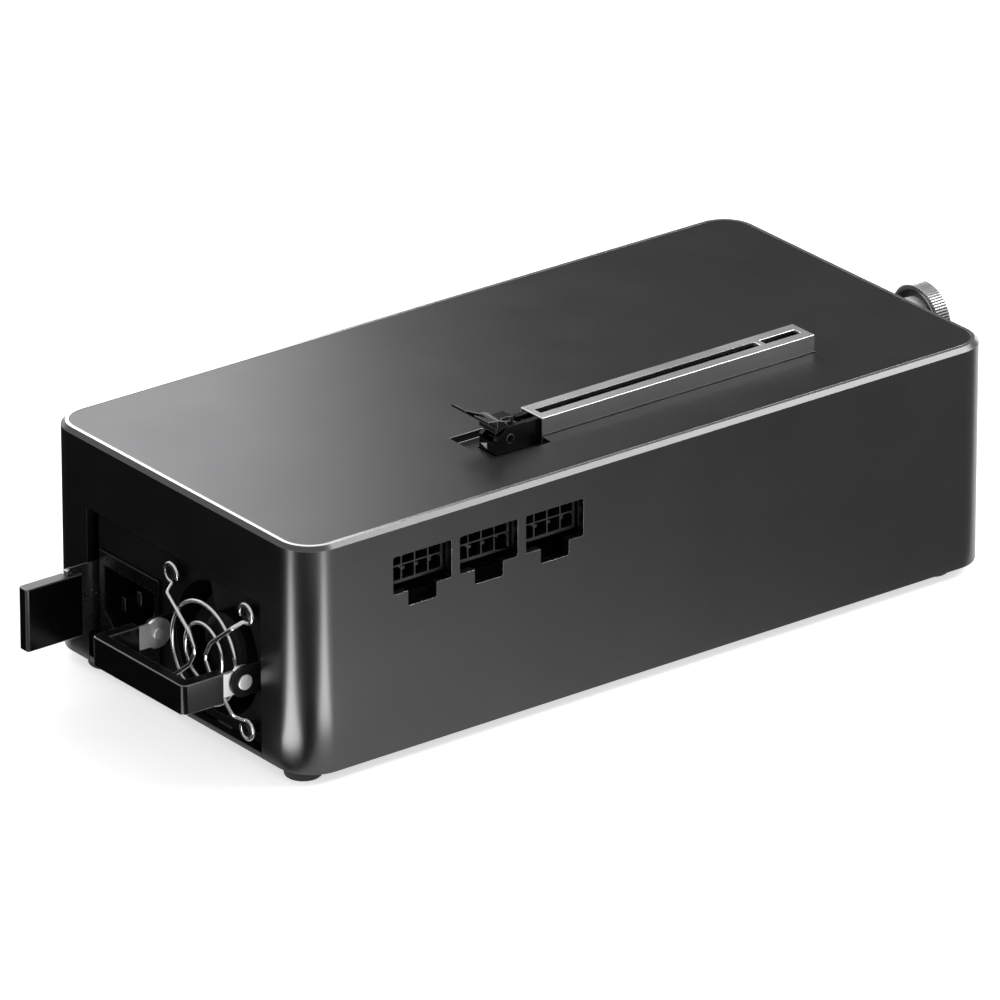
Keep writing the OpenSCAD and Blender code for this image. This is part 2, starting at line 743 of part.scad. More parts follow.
// Backplane at the supply's inner end, with the receptacle for its card edge
edge_l = 8;
edge_w = 46;
edge_gap = 0.6;
receptacle_l = 11;
receptacle_w = 54;
receptacle_h = 9;
supply_board_t = 1.6;
supply_board_rise = 4;
supply_board_z = supply_z0 + sheet_t + supply_board_rise;
backplane_gap = 1.5;
backplane_w = 2 * (board_y1 - hole_in - board_head_r - backplane_gap);
backplane_x = supply_x1 + edge_gap + receptacle_l;
module backplane() {
  color(board_green) translate([backplane_x, -backplane_w / 2, supply_z0 + over])
    cube([board_t, backplane_w, board_z0 - supply_z0 - over]);
}
module supply_receptacle() {
  zc = supply_board_z + supply_board_t / 2;
  color(black) difference() {
    translate([supply_x1 + edge_gap, -receptacle_w / 2, zc - receptacle_h / 2])
      cube([receptacle_l, receptacle_w, receptacle_h]);
    translate([supply_x1 + edge_gap - over, -edge_w / 2 - loose_gap,
      zc - supply_board_t / 2 - edge_contact_t - seat_gap])
      cube([edge_l + over, edge_w + 2 * loose_gap, supply_board_t + 2 * (edge_contact_t + seat_gap)]);
  }
}
bar_w = 12;
bar_t = 1.5;
bar_l = 9;
bar_h = 14;
module bus_bars() {
  color(copper)
    for (sy = [-1, 1]) {
      translate([backplane_x + board_t, sy * backplane_w / 4 - bar_w / 2, board_z0 - bar_h])
        cube([bar_t, bar_w, bar_h]);
      translate([backplane_x + board_t, sy * backplane_w / 4 - bar_w / 2, board_z0 - bar_t])
        cube([bar_l, bar_w, bar_t]);
    }
}

// Angle rails either side of the supply
rail_t = 1;
rail_foot = 8;
rail_short = 8;
rail_h = supply_h - rail_short;
rail_in = 14;
module guide_rails() {
  rail_l = supply_l - rail_in - 2 * rail_foot;
  color(steel) for (sy = [-1, 1]) {
    translate([supply_x0 + rail_in, sy * (bay_w / 2 + rail_t / 2) - rail_t / 2, z_floor])
      cube([rail_l, rail_t, rail_h]);
    translate([supply_x0 + rail_in, sy * (bay_w / 2 + rail_foot / 2) - rail_foot / 2, z_floor])
      cube([rail_l, rail_foot, rail_t]);
  }
}

// Threaded bush in the bracket end wall
module bracket_bush() {
  color(steel) translate([x_bracket - bush_l, knob_y, knob_z]) rotate([0, 90, 0]) difference() {
    union() {
      cylinder(h = bush_l, r = bush_r - run_gap);
      translate([0, 0, bush_l - wall_t - bush_flange_t]) cylinder(h = bush_flange_t, r = bush_flange_r);
    }
    translate([0, 0, -over]) cylinder(h = bush_l + 2 * over, r = stud_r + run_gap);
  }
}

module screw_washer() {
  color(black) translate([x_bracket, knob_y, knob_z]) rotate([0, 90, 0]) difference() {
    cylinder(h = washer_t, r = collar_r);
    translate([0, 0, -over]) cylinder(h = washer_t + 2 * over, r = stud_r + run_gap);
  }
}

// Knurled thumb screw with a collar, its back hollowed
knurl_d = 0.35;
knob_cup_r = 8.6;
knob_cup_d = 1.2;
module bracket_screw() {
  outline = [for (i = [0 : 2 * knurl_n - 1])
    (knob_r - (i % 2) * knurl_d) * [cos(180 * i / knurl_n), sin(180 * i / knurl_n)]];
  color(bright) translate([x_bracket + washer_t, knob_y, knob_z]) rotate([0, 90, 0]) {
    difference() {
      translate([0, 0, collar_l]) linear_extrude(knob_t) polygon(outline);
      translate([0, 0, collar_l - over]) cylinder(h = knob_cup_d + over, r = knob_cup_r);
    }
    cylinder(h = collar_l + knob_t / 2, r = collar_r);
    translate([0, 0, -stud_l]) cylinder(h = stud_l + over, r = stud_r);
  }
}

// The supply's latch: where its strip bends, and the room it needs
strip_gap = 0.2;
strip_h = 19.2;
strip_y = supply_y1 + strip_gap;
strip_x1 = supply_x0 + strip_back;
latch_down = 3.4;
latch_zc = supply_zc - latch_down;
blade_gap = 7.1;
blade_x0 = supply_x0 - blade_gap - blade_l;
swing_room = 1.7;
window_gap = 0.8;

// Tray of the supply: floor, sides, face with two ears, and a partial rear wall
ear_t = 0.8;
ear_gap = 0.05;
strap_t = 0.9;
fan_screw_r = 1.5;
tray_rear_h = 22;
inlet_down = 2.2;
module at_fan_holes() {
  for (sy = [-1, 1], sz = [-1, 1])
    translate([supply_x0, fan_y + sy * fan_holes / 2, fan_z + sz * fan_holes / 2]) rotate([0, 90, 0]) children();
}
inlet_y = supply_y1 - inlet_w / 2 - inlet_in;
inlet_z = supply_zc - inlet_down;
module supply_tray() {
  color(black) difference() {
    union() {
      difference() {
        translate([supply_x0, supply_y0, supply_z0]) cube([supply_l, supply_w, supply_h - sheet_t]);
        translate([supply_x0 + sheet_t, supply_y0 + sheet_t, supply_z0 + sheet_t])
          cube([supply_l - 2 * sheet_t, supply_w - 2 * sheet_t, supply_h]);
      }
      for (s = [-1, 1])
        translate([0, fan_y + s * (arm_y + strap_t / 2 + ear_gap + ear_t / 2) + ear_t / 2, 0])
          rotate([90, 0, 0]) linear_extrude(ear_t) {
            translate([axle_x, axle_z]) circle(eye_r);
            translate([axle_x, axle_z - eye_r]) square([supply_x0 + sheet_t / 2 - axle_x, 2 * eye_r]);
          }
    }
    translate([supply_x0 - over, fan_y, fan_z]) rotate([0, 90, 0]) cylinder(h = sheet_t + 2 * over, r = fan_r);
    at_fan_holes() translate([0, 0, -over]) cylinder(h = sheet_t + 2 * over, r = fan_screw_r + seat_gap);
    translate([supply_x0 - over, inlet_y - inlet_w / 2 + 2 * sheet_t, inlet_z - inlet_h / 2 + 2 * sheet_t])
      cube([sheet_t + 2 * over, inlet_w - 4 * sheet_t, inlet_h - 4 * sheet_t]);
    translate([axle_x, fan_y, axle_z]) rotate([90, 0, 0]) cylinder(h = handle_w + 2 * over, r = rivet_r, center = true);
    translate([supply_x0 - over, supply_y1 - swing_room, latch_zc - strip_h / 2 - window_gap])
      cube([strip_back + over - window_gap, swing_room + over, strip_h + 2 * window_gap]);
    translate([supply_x1 - sheet_t - over, -edge_w / 2 - over, supply_z0 + sheet_t])
      cube([sheet_t + 2 * over, edge_w + 2 * over, tray_rear_h]);
  }
}

cover_screw_r = 1.25;
cover_screw_in = 9;
cover_screw_l = 3;
cover_nut_t = 2;
tab_w = 8;
tab_l = 10;
module at_cover_screws() {
  for (x = [supply_x0 + 3 * cover_screw_in, supply_x1 - cover_screw_in], s = [0, 1])
    translate([x, s == 0 ? supply_y0 + sheet_t + tab_w / 2 : supply_y1 - sheet_t - tab_w / 2, 0]) children();
}
module supply_cover() {
  color(black) difference() {
    translate([supply_x0, supply_y0, supply_z1 - sheet_t]) cube([supply_l, supply_w, sheet_t]);
    at_cover_screws() translate([0, 0, supply_z1 - sheet_t - over])
      cylinder(h = sheet_t + 2 * over, r = cover_screw_r + run_gap);
  }
}
module cover_screws() {
  color(steel) at_cover_screws() {
    translate([0, 0, supply_z1 - sheet_t - cover_screw_l]) cylinder(h = sheet_t + cover_screw_l, r = cover_screw_r);
    translate([0, 0, supply_z1 - sheet_t - cover_screw_l]) cylinder(h = cover_nut_t, r = 2 * cover_screw_r);
  }
}

// Mains inlet: flange on the supply's face, body behind it, cavity with cut corners
flange_t = 1;
inlet_back_t = 3;
cavity_cut = 4;
module inlet_body() {
  body_d = cavity_d + inlet_back_t;
  color(black) translate([supply_x0, inlet_y, inlet_z]) difference() {
    union() {
      translate([-flange_t, -inlet_w / 2, -inlet_h / 2]) cube([flange_t, inlet_w, inlet_h]);
      translate([-flange_t / 2, -inlet_w / 2 + 2 * sheet_t + seat_gap, -inlet_h / 2 + 2 * sheet_t + seat_gap])
        cube([body_d, inlet_w - 4 * sheet_t - 2 * seat_gap, inlet_h - 4 * sheet_t - 2 * seat_gap]);
    }
    translate([-flange_t - over, 0, 0]) rotate([90, 0, 90]) linear_extrude(cavity_d + flange_t + over)
      polygon([[-pocket_w / 2, -cavity_h / 2 + cavity_cut], [-pocket_w / 2 + cavity_cut, -cavity_h / 2],
        [pocket_w / 2 - cavity_cut, -cavity_h / 2], [pocket_w / 2, -cavity_h / 2 + cavity_cut],
        [pocket_w / 2, cavity_h / 2], [-pocket_w / 2, cavity_h / 2]]);
  }
}
pocket_w = inlet_w - 5 * sheet_t - 2 * seat_gap;
pin_share = 0.3256;
blade_pin_w = 2;
blade_pin_h = 4;
blade_pin_l = 13;
pin_spread = pocket_w * pin_share;
module inlet_pins() {
  color(bright)
    for (p = [[-pin_spread, -1], [0, 1], [pin_spread, -1]])
      translate([supply_x0 + cavity_d - blade_pin_l, inlet_y + p[0] - blade_pin_w / 2,
        inlet_z + p[1] * blade_pin_w - blade_pin_h / 2])
        cube([blade_pin_l, blade_pin_w, blade_pin_h]);
}

// The fan: a square frame with a hub on four struts, and a bladed rotor
hub_share = 0.5056;
fan_hub_r = fan_r * hub_share;
fan_strut_w = 2;
fan_base_t = 3;
fan_bore_r = 1.5;
rotor_gap = 1;
rotor_front = 1.6;
rotor_d = 12;
rotor_wall = 1.4;
module fan_frame() {
  x0 = supply_x0 + sheet_t;
  color(black) translate([x0, fan_y, fan_z]) rotate([0, 90, 0]) {
    difference() {
      translate([-fan_size / 2, -fan_size / 2, 0]) cube([fan_size, fan_size, fan_d]);
      translate([0, 0, -over]) cylinder(h = fan_d + 2 * over, r = fan_r);
      for (sx = [-1, 1], sy = [-1, 1])
        translate([sx * fan_holes / 2, sy * fan_holes / 2, -over]) cylinder(h = fan_d + 2 * over, r = fan_screw_r);
    }
    translate([0, 0, fan_d - fan_base_t]) linear_extrude(fan_base_t) difference() {
      union() {
        circle(fan_hub_r);
        for (a = [45, 135]) rotate(a) square([2 * fan_r + over, fan_strut_w], center = true);
      }
      circle(fan_bore_r + run_gap);
    }
  }
}
blade_tilt = 38;
blade_chord = 9;
rotor_blade_t = 1;
module fan_rotor() {
  x0 = supply_x0 + sheet_t + rotor_front;
  color(black) translate([x0, fan_y, fan_z]) rotate([0, 90, 0]) {
    difference() {
      cylinder(h = rotor_d, r = fan_hub_r);
      translate([0, 0, rotor_wall]) cylinder(h = rotor_d, r = fan_hub_r - rotor_wall);
    }
    cylinder(h = fan_d - rotor_front, r = fan_bore_r);
    difference() {
      intersection() {
        cylinder(h = rotor_d, r = fan_r - rotor_gap);
        for (i = [0 : blade_count - 1]) rotate([0, 0, i * 360 / blade_count])
          translate([0, 0, rotor_d / 2]) rotate([blade_tilt, 0, 0])
            translate([0, -blade_chord / 2, -rotor_blade_t / 2]) cube([2 * fan_r, blade_chord, rotor_blade_t]);
      }
      translate([0, 0, -over]) cylinder(h = rotor_d + 2 * over, r = fan_hub_r - rotor_wall / 2);
    }
  }
}

// The wire guard: two rings, and two bent wires that end in open hooks on the fan's screws
guard_sides = 10;
hook_r = 2.5;
hook_out = 2.4;
ring_out = 4.1;
ring_shares = [0.4438, 0.764];
ring_radii = fan_r * ring_shares;
vee_shares = [0.1348, 0.2584];
vee_tip = fan_r * vee_shares[0];
vee_shoulder = fan_r * vee_shares[1];
vee_mid_share = 0.62;
bend_shares = [0.4344, 0.375];
vee_bend = fan_holes * bend_shares;
hook_start = -110;
hook_end = 205;
hook_steps = 18;
function ring_points(centre, u, v, r) =
  [for (k = [0 : guard_sides - 1]) centre + r * (u * cos(360 * k / guard_sides) + v * sin(360 * k / guard_sides))];
function unit(v) = v / norm(v);
function tangent(p, i) = unit(p[min(i + 1, len(p) - 1)] - p[max(i - 1, 0)]);
module wire(path, r) {
  n = len(path);
  m = guard_sides;
  points = [for (i = [0 : n - 1])
    let (t = tangent(path, i), side = abs(t[0]) < 0.9 ? [1, 0, 0] : [0, 1, 0],
      u = unit(cross(side, t)), v = cross(t, u))
      each ring_points(path[i], u, v, r)];
  faces = concat([[for (k = [0 : m - 1]) k]], [[for (k = [0 : m - 1]) n * m - 1 - k]],
    [for (i = [0 : n - 2], k = [0 : m - 1])
      [i * m + k, (i + 1) * m + k, (i + 1) * m + (k + 1) % m, i * m + (k + 1) % m]]);
  polyhedron(points, faces);
}
// Half of one vee, from its rounded tip out to the hook round a screw
function arc2(c, r, a0, a1, n) = [for (k = [0 : n]) let (a = a0 + (a1 - a0) * k / n) c + r * [cos(a), sin(a)]];
function hook_path() = let (h = fan_holes / 2) arc2([h, h], hook_r, hook_start, hook_end, hook_steps);
module vee_half() {
  x_front = -ring_out - 2 * wire_r;
  flat = concat([[vee_tip, -vee_tip / 8], [vee_tip, vee_tip / 3], [(vee_tip + vee_shoulder) / 2, vee_shoulder * vee_mid_share]],
    [[vee_shoulder, vee_shoulder], vee_bend]);
  path = concat([for (p = flat) [x_front, p[0], p[1]]], [for (p = hook_path()) [-hook_out, p[0], p[1]]]);
  wire(path, wire_r);
}
module fan_guard() {
  color(bright) translate([supply_x0, fan_y, fan_z]) {
    for (r = ring_radii)
      translate([-ring_out, 0, 0]) rotate([0, 90, 0]) rotate_extrude() translate([r, 0]) circle(wire_r, $fn = 16);
    for (sy = [-1, 1], sz = [-1, 1]) scale([1, sy, sz]) vee_half();
  }
}

// Flat-headed screws that hold the guard's hooks and the fan
fan_head_r = 2;
fan_head_h = 1.2;
fan_screw_l = 9;
module fan_screws() {
  color(black) at_fan_holes() {
    translate([0, 0, -hook_out - wire_r]) cylinder(h = fan_head_h, r1 = fan_head_r, r2 = fan_screw_r - run_gap);
    translate([0, 0, -hook_out - wire_r]) cylinder(h = fan_screw_l, r = fan_screw_r - run_gap);
  }
}

// The folding handle: a grip, two straps with eyes, and the rivets they turn on
grip_corner = 1.7;
strap_tab = 6.7;
strap_h = 6.4;
strap_in = 6;
module handle_grip() {
  bar_x0 = axle_x - handle_reach;
  arm_l = handle_reach - strap_tab;
  color(black) translate([0, fan_y, axle_z - grip_h / 2]) difference() {
    linear_extrude(grip_h) difference() {
      union() {
        translate([bar_x0 + grip_corner, -handle_w / 2]) square([arm_l - grip_corner, handle_w]);
        translate([bar_x0, -handle_w / 2 + grip_corner]) square([2 * grip_corner, handle_w - 2 * grip_corner]);
        for (s = [-1, 1]) translate([bar_x0 + grip_corner, s * (handle_w / 2 - grip_corner)]) circle(grip_corner);
      }
      translate([bar_x0 + grip_t, -handle_w / 2 + grip_t]) square([arm_l + over, handle_w - 2 * grip_t]);
    }
    for (s = [-1, 1])
      translate([axle_x - strap_tab - strap_in - run_gap, s * arm_y - strap_t / 2 - run_gap,
        (grip_h - strap_h) / 2 - run_gap])
        cube([strap_in + over, strap_t + 2 * run_gap, strap_h + 2 * run_gap]);
  }
}
module handle_straps() {
  color(bright)
    for (s = [-1, 1])
      translate([0, fan_y + s * arm_y + strap_t / 2, 0]) rotate([90, 0, 0]) linear_extrude(strap_t) difference() {
        union() {
          translate([axle_x, axle_z]) circle(eye_r);
          translate([axle_x - strap_tab - strap_in, axle_z - strap_h / 2]) square([strap_tab + strap_in, strap_h]);
        }
        translate([axle_x, axle_z]) circle(rivet_r + run_gap);
      }
}
rivet_head_r = 2.1;
rivet_head_t = 0.6;
module handle_rivets() {
  inner = arm_y - strap_t / 2 - ear_gap;
  outer = arm_y + strap_t / 2 + ear_gap + ear_t;
  color(bright)
    for (s = [-1, 1])
      translate([axle_x, fan_y, axle_z]) rotate([s * -90, 0, 0]) {
        translate([0, 0, inner - rivet_head_t]) cylinder(h = outer - inner + 2 * rivet_head_t, r = rivet_r);
        translate([0, 0, outer]) cylinder(h = rivet_head_t, r = rivet_head_r);
        translate([0, 0, inner - rivet_head_t]) cylinder(h = rivet_head_t, r = rivet_head_r - ear_t / 2);
      }
}

// The supply's latch: an anchor on the case, a spring strip with a catch, and a thumb blade
anchor_l = 8;
anchor_h = 13;
module latch_anchor() {
  color(bright) {
    translate([strip_x1 + loose_gap, supply_y1, latch_zc - anchor_h / 2])
      cube([anchor_l, strip_gap + strip_t, anchor_h]);
    for (s = [-1, 1])
      translate([strip_x1 + loose_gap + anchor_l / 2, supply_y1 + strip_gap + strip_t, latch_zc + s * anchor_h / 4])
        rotate([-90, 0, 0]) cylinder(h = strip_t, r = rivet_r);
  }
}
curl_r = 0.75;
strip_front = 10.2;
tooth_l = 4;
tooth_h = 7;
tooth_gap = 0.3;
module latch_strip() {
  tooth_x0 = x_supply + wall_t + tooth_gap;
  color(bright) {
    translate([supply_x0 - strip_front, strip_y, latch_zc - strip_h / 2])
      cube([strip_front + strip_back, strip_t, strip_h]);
    translate([supply_x0 - strip_front, strip_y + strip_t - curl_r, latch_zc - strip_h / 2])
      cylinder(h = strip_h, r = curl_r, $fn = 24);
    translate([0, 0, latch_zc - tooth_h / 2]) linear_extrude(tooth_h)
      polygon([[tooth_x0, strip_y], [tooth_x0 + tooth_l, strip_y], [tooth_x0 + tooth_l, strip_y + strip_t],
        [tooth_x0 + over, strip_y + strip_t + tooth_out], [tooth_x0, strip_y + strip_t + tooth_out]]);
  }
}
blade_edge = 0.5;
module latch_blade() {
  far = strip_y + strip_t + loose_gap;
  seat_x = supply_x0 - strip_front - curl_r - run_gap;
  color(black) translate([0, 0, latch_zc - blade_h / 2]) linear_extrude(blade_h) polygon([
    [blade_x0, far - blade_t + blade_edge], [blade_x0 + blade_edge, far - blade_t], [blade_x0 + blade_l, far - blade_t],
    [blade_x0 + blade_l, strip_y - run_gap], [seat_x + 2 * curl_r + 2 * run_gap, strip_y - run_gap],
    [seat_x + 2 * curl_r + 2 * run_gap, strip_y + strip_t - 2 * curl_r - run_gap],
    [seat_x, strip_y + strip_t - 2 * curl_r - run_gap], [seat_x, far], [blade_x0 + blade_edge, far],
    [blade_x0, far - blade_edge]]);
}

// Inside the supply: its board with the card edge, and the largest components
module supply_board() {
  x0 = supply_x0 + sheet_t + fan_d + 2 * over;
  color(board_green) {
    translate([x0, supply_y0 + sheet_t + over, supply_board_z])
      cube([supply_x1 - 2 * sheet_t - over - x0, supply_w - 2 * sheet_t - 2 * over, supply_board_t]);
    translate([x0, -edge_w / 2, supply_board_z]) cube([supply_x1 + edge_l - x0, edge_w, supply_board_t]);
  }
}
edge_contact_t = 0.1;
edge_n = 14;
edge_contact_w = 2.4;
module edge_contacts() {
  pitch = edge_w / edge_n;
  color(gold)
    for (i = [0 : edge_n - 1], z = [supply_board_z - edge_contact_t, supply_board_z + supply_board_t])
      translate([supply_x1 + over, -edge_w / 2 + (i + 1 / 2) * pitch - edge_contact_w / 2, z])
        cube([edge_l - 2 * over, edge_contact_w, edge_contact_t]);
}
bulk_shares = [0.2054, 0.35];
bulk_l = supply_l * bulk_shares[0];
bulk_r = supply_h * bulk_shares[1];
part_gap = 4;
module bulk_capacitors() {
  color(black) for (i = [0, 1])
    translate([supply_x0 + fan_d + (i + 1) * part_gap + i * bulk_l, supply_y1 - sheet_t - bulk_r - part_gap,
      supply_board_z + supply_board_t + bulk_r])
      rotate([0, 90, 0]) cylinder(h = bulk_l, r = bulk_r);
}
core_shares = [0.1838, 0.3581, 0.7];
core_l = supply_l * core_shares[0];
core_w = supply_w * core_shares[1];
core_h = supply_h * core_shares[2];
core_start_share = 0.62;
module transformer() {
  color(copper) translate([supply_x0 + supply_l * core_start_share, -core_w / 2, supply_board_z + supply_board_t])
    cube([core_l, core_w, core_h]);
}
fin_t = 1.2;
fin_shares = [0.5189, 0.0826, 0.65];
fin_l = supply_l * fin_shares[0];
fin_pitch = supply_w * fin_shares[1];
fin_h = supply_h * fin_shares[2];
fin_n = 3;
module heat_sinks() {
  color(steel)
    for (i = [0 : fin_n - 1])
      translate([supply_x0 + fan_d + 2 * part_gap, supply_y0 + sheet_t + part_gap + i * fin_pitch,
        supply_board_z + supply_board_t])
        cube([fin_l, fin_t, fin_h]);
}

shell();
top_panel();
bottom_plate();
bottom_screws();
feet();
main_board();
board_standoffs();
board_screws();
slot_housing();
slot_cladding();
slot_contacts();
retention_lever();
power_header_1();
power_header_2();
power_header_3();
header_pins();
signal_chip();
board_capacitors();
host_port_shell();
host_port_tongue();
backplane();
supply_receptacle();
bus_bars();
guide_rails();
bracket_bush();
screw_washer();
bracket_screw();
supply_tray();
supply_cover();
cover_screws();
inlet_body();
inlet_pins();
fan_frame();
fan_rotor();
fan_guard();
fan_screws();
handle_rivets();
handle_grip();
handle_straps();
latch_anchor();
latch_strip();
latch_blade();
supply_board();
edge_contacts();
bulk_capacitors();
transformer();
heat_sinks();
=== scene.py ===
import math

import bmesh
import bpy
from mathutils import Matrix, Vector


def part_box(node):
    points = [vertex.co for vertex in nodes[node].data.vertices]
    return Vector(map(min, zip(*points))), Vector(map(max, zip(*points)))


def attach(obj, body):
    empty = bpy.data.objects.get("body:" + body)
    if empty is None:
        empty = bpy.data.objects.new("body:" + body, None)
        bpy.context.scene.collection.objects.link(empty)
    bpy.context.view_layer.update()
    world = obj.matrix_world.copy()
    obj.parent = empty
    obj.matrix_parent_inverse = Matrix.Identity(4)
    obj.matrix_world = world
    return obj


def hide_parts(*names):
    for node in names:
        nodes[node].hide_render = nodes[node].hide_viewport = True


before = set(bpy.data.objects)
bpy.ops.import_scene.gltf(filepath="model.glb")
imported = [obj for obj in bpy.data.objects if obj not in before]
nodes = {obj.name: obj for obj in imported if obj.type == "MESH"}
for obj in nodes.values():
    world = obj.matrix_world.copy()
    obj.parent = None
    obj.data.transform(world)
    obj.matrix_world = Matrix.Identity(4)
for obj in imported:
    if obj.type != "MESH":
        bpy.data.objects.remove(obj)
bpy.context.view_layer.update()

scene = bpy.context.scene
scene.view_settings.view_transform = "Standard"

# The camera stands far back with a long lens, to the left of the socket side, and looks
# down on the box.
looks_from = math.radians(-37.467)
looks_down = math.radians(23.87)
roll = math.radians(-0.076)
back = Vector((math.sin(looks_from) * math.cos(looks_down), -math.cos(looks_from) * math.cos(looks_down),
               math.sin(looks_down)))
right = Vector((math.cos(looks_from), math.sin(looks_from), 0))
up = back.cross(right)
right, up = math.cos(roll) * right + math.sin(roll) * up, -math.sin(roll) * right + math.cos(roll) * up
aim = Vector((0.0067, 0, 0.003))
aside, above, away = -0.006155, 0.025415, 2.910182
eye = aim + right * aside + up * above + back * away
lens = bpy.data.cameras.new("camera")
lens.sensor_width = 36
lens.lens = 403.26
lens.clip_start, lens.clip_end = 0.1, 60
camera = bpy.data.objects.new("camera", lens)
camera.matrix_world = Matrix.Translation(eye) @ Matrix((right, up, back)).transposed().to_4x4()
scene.collection.objects.link(camera)
scene.camera = camera

# The studio: a pale floor without an edge in view and a white surround, soft boxes over the
# far corner and behind the supply end, and cards on the floor and behind, for reflections only.
white_share = 1.0
floor_glow = 0.62
floor_half = 12


def wired(tree, *links):
    """links each pair of an output and an input"""
    for source, target in links:
        tree.links.new(source, target)


def light_path_white(tree):
    """1 where a camera, glossy or transmission ray arrives, 0 elsewhere"""
    path = tree.nodes.new("ShaderNodeLightPath")
    total = path.outputs["Is Camera Ray"]
    for ray in ("Is Glossy Ray", "Is Transmission Ray"):
        add = tree.nodes.new("ShaderNodeMath")
        add.operation = "MAXIMUM"
        wired(tree, (total, add.inputs[0]), (path.outputs[ray], add.inputs[1]))
        total = add.outputs[0]
    return total


floor_look = bpy.data.materials.new("studio_floor")
floor_look.use_nodes = True
tree = floor_look.node_tree
tree.nodes.clear()
paint = tree.nodes.new("ShaderNodeBsdfDiffuse")
paint.inputs["Color"].default_value = (0.8, 0.8, 0.8, 1)
glow = tree.nodes.new("ShaderNodeEmission")
glow.inputs["Color"].default_value = (1, 1, 1, 1)
weight = tree.nodes.new("ShaderNodeMath")
weight.operation = "MULTIPLY"
weight.inputs[1].default_value = floor_glow
both = tree.nodes.new("ShaderNodeAddShader")
out = tree.nodes.new("ShaderNodeOutputMaterial")
wired(tree, (light_path_white(tree), weight.inputs[0]), (weight.outputs[0], glow.inputs["Strength"]),
      (paint.outputs[0], both.inputs[0]), (glow.outputs[0], both.inputs[1]),
      (both.outputs[0], out.inputs["Surface"]))
sheet = bmesh.new()
bmesh.ops.create_grid(sheet, x_segments=8, y_segments=8, size=floor_half)
floor_mesh = bpy.data.meshes.new("studio_floor")
sheet.to_mesh(floor_mesh)
sheet.free()
floor_mesh.materials.append(floor_look)
floor = bpy.data.objects.new("studio_floor", floor_mesh)
scene.collection.objects.link(floor)

surround = bpy.data.worlds.new("surround")
surround.use_nodes = True
scene.world = surround
tree = surround.node_tree
tree.nodes.clear()
level = tree.nodes.new("ShaderNodeMapRange")
level.inputs["To Min"].default_value = 0.55
level.inputs["To Max"].default_value = white_share
glow = tree.nodes.new("ShaderNodeBackground")
glow.inputs["Color"].default_value = (1, 1, 1, 1)
out = tree.nodes.new("ShaderNodeOutputWorld")
wired(tree, (light_path_white(tree), level.inputs["Value"]),
      (level.outputs["Result"], glow.inputs["Strength"]), (glow.outputs[0], out.inputs["Surface"]))


def soft_box(name, place, aim, width, height, radiance):
    """a lamp of that width and height in metres"""
    light = bpy.data.lights.new(name, "AREA")
    light.shape = "RECTANGLE"
    light.size, light.size_y = width, height
    light.energy = radiance * math.pi * width * height
    made = bpy.data.objects.new(name, light)
    scene.collection.objects.link(made)
    face = (Vector(aim) - Vector(place)).to_track_quat("-Z", "Y").to_matrix()
    made.matrix_world = Matrix.Translation(place) @ face.to_4x4()
    made.visible_camera = False


def card(name, place, aim, width, height, shades, turn=0.0):
    """a card that only reflections see; shades are two pairs of world x in metres and brightness"""
    sheet = bmesh.new()
    bmesh.ops.create_grid(sheet, x_segments=2, y_segments=2, size=0.5)
    face = (Vector(aim) - Vector(place)).to_track_quat("-Z", "Y").to_matrix() @ Matrix.Rotation(turn, 3, "Z")
    spread = Matrix.Diagonal((width, height, 1, 1))
    bmesh.ops.transform(sheet, matrix=Matrix.Translation(place) @ face.to_4x4() @ spread, verts=sheet.verts)
    mesh = bpy.data.meshes.new(name)
    sheet.to_mesh(mesh)
    sheet.free()
    look = bpy.data.materials.new(name)
    look.use_nodes = True
    tree = look.node_tree
    tree.nodes.clear()
    where = tree.nodes.new("ShaderNodeTexCoord")
    split = tree.nodes.new("ShaderNodeSeparateXYZ")
    share = tree.nodes.new("ShaderNodeMapRange")
    share.interpolation_type = "SMOOTHSTEP"
    (share.inputs["From Min"].default_value, share.inputs["To Min"].default_value), \
        (share.inputs["From Max"].default_value, share.inputs["To Max"].default_value) = shades
    glow = tree.nodes.new("ShaderNodeEmission")
    out = tree.nodes.new("ShaderNodeOutputMaterial")
    wired(tree, (where.outputs["Object"], split.inputs[0]), (split.outputs["X"], share.inputs["Value"]),
          (share.outputs["Result"], glow.inputs["Strength"]), (glow.outputs[0], out.inputs["Surface"]))
    mesh.materials.append(look)
    made = bpy.data.objects.new(name, mesh)
    scene.collection.objects.link(made)
    made.visible_camera = False
    made.visible_diffuse = False
    made.visible_shadow = False
    made.visible_transmission = False


soft_box("box_over_far_corner", (0.76, -0.4, 0.84), (0.02, -0.02, 0.05), 0.6, 0.5, 10)
soft_box("box_behind_left", (0.025, 0.385, 0.245), (-0.1, -0.02, 0.065), 0.34, 0.24, 3.4)
card("card_behind_right", (0.5, 0.52, 0.4), (0.06, 0, 0.06), 0.9, 0.7, ((0.1, 0.5), (0.45, 0.2)))
card("card_by_supply_end", (-0.309, 0.125, 0.0015), (-0.309, 0.125, 1), 0.4, 0.65,
     ((-0.5, 0.02), (-0.1, 0.02)))
card("card_along_sockets", (0.16, -0.267, 0.0015), (0.16, -0.267, 1), 0.5, 0.42,
     ((-0.12, 1.25), (0.13, 0.42)))
card("card_behind_supply_end", (-0.069, 0.275, 0.0015), (-0.069, 0.275, 1), 0.08, 0.42,
     ((-1, 0.02), (1, 0.02)))
card("card_beyond_far_corner", (0.5, 0.16, 0.08), (0.118, -0.05, 0.06), 0.16, 0.12, ((-1, 4), (1, 4)))
card("strip_by_supply_end", (-0.183, -0.04, 0.003), (-0.183, -0.04, 1), 0.13, 0.026, ((-1, 9), (1, 9)),
     turn=math.radians(6.5))
card("strip_in_front", (-0.0933, -0.1409, 0.003), (-0.0933, -0.1409, 1), 0.026, 0.117, ((-1, 9), (1, 9)),
     turn=math.radians(-3.5))

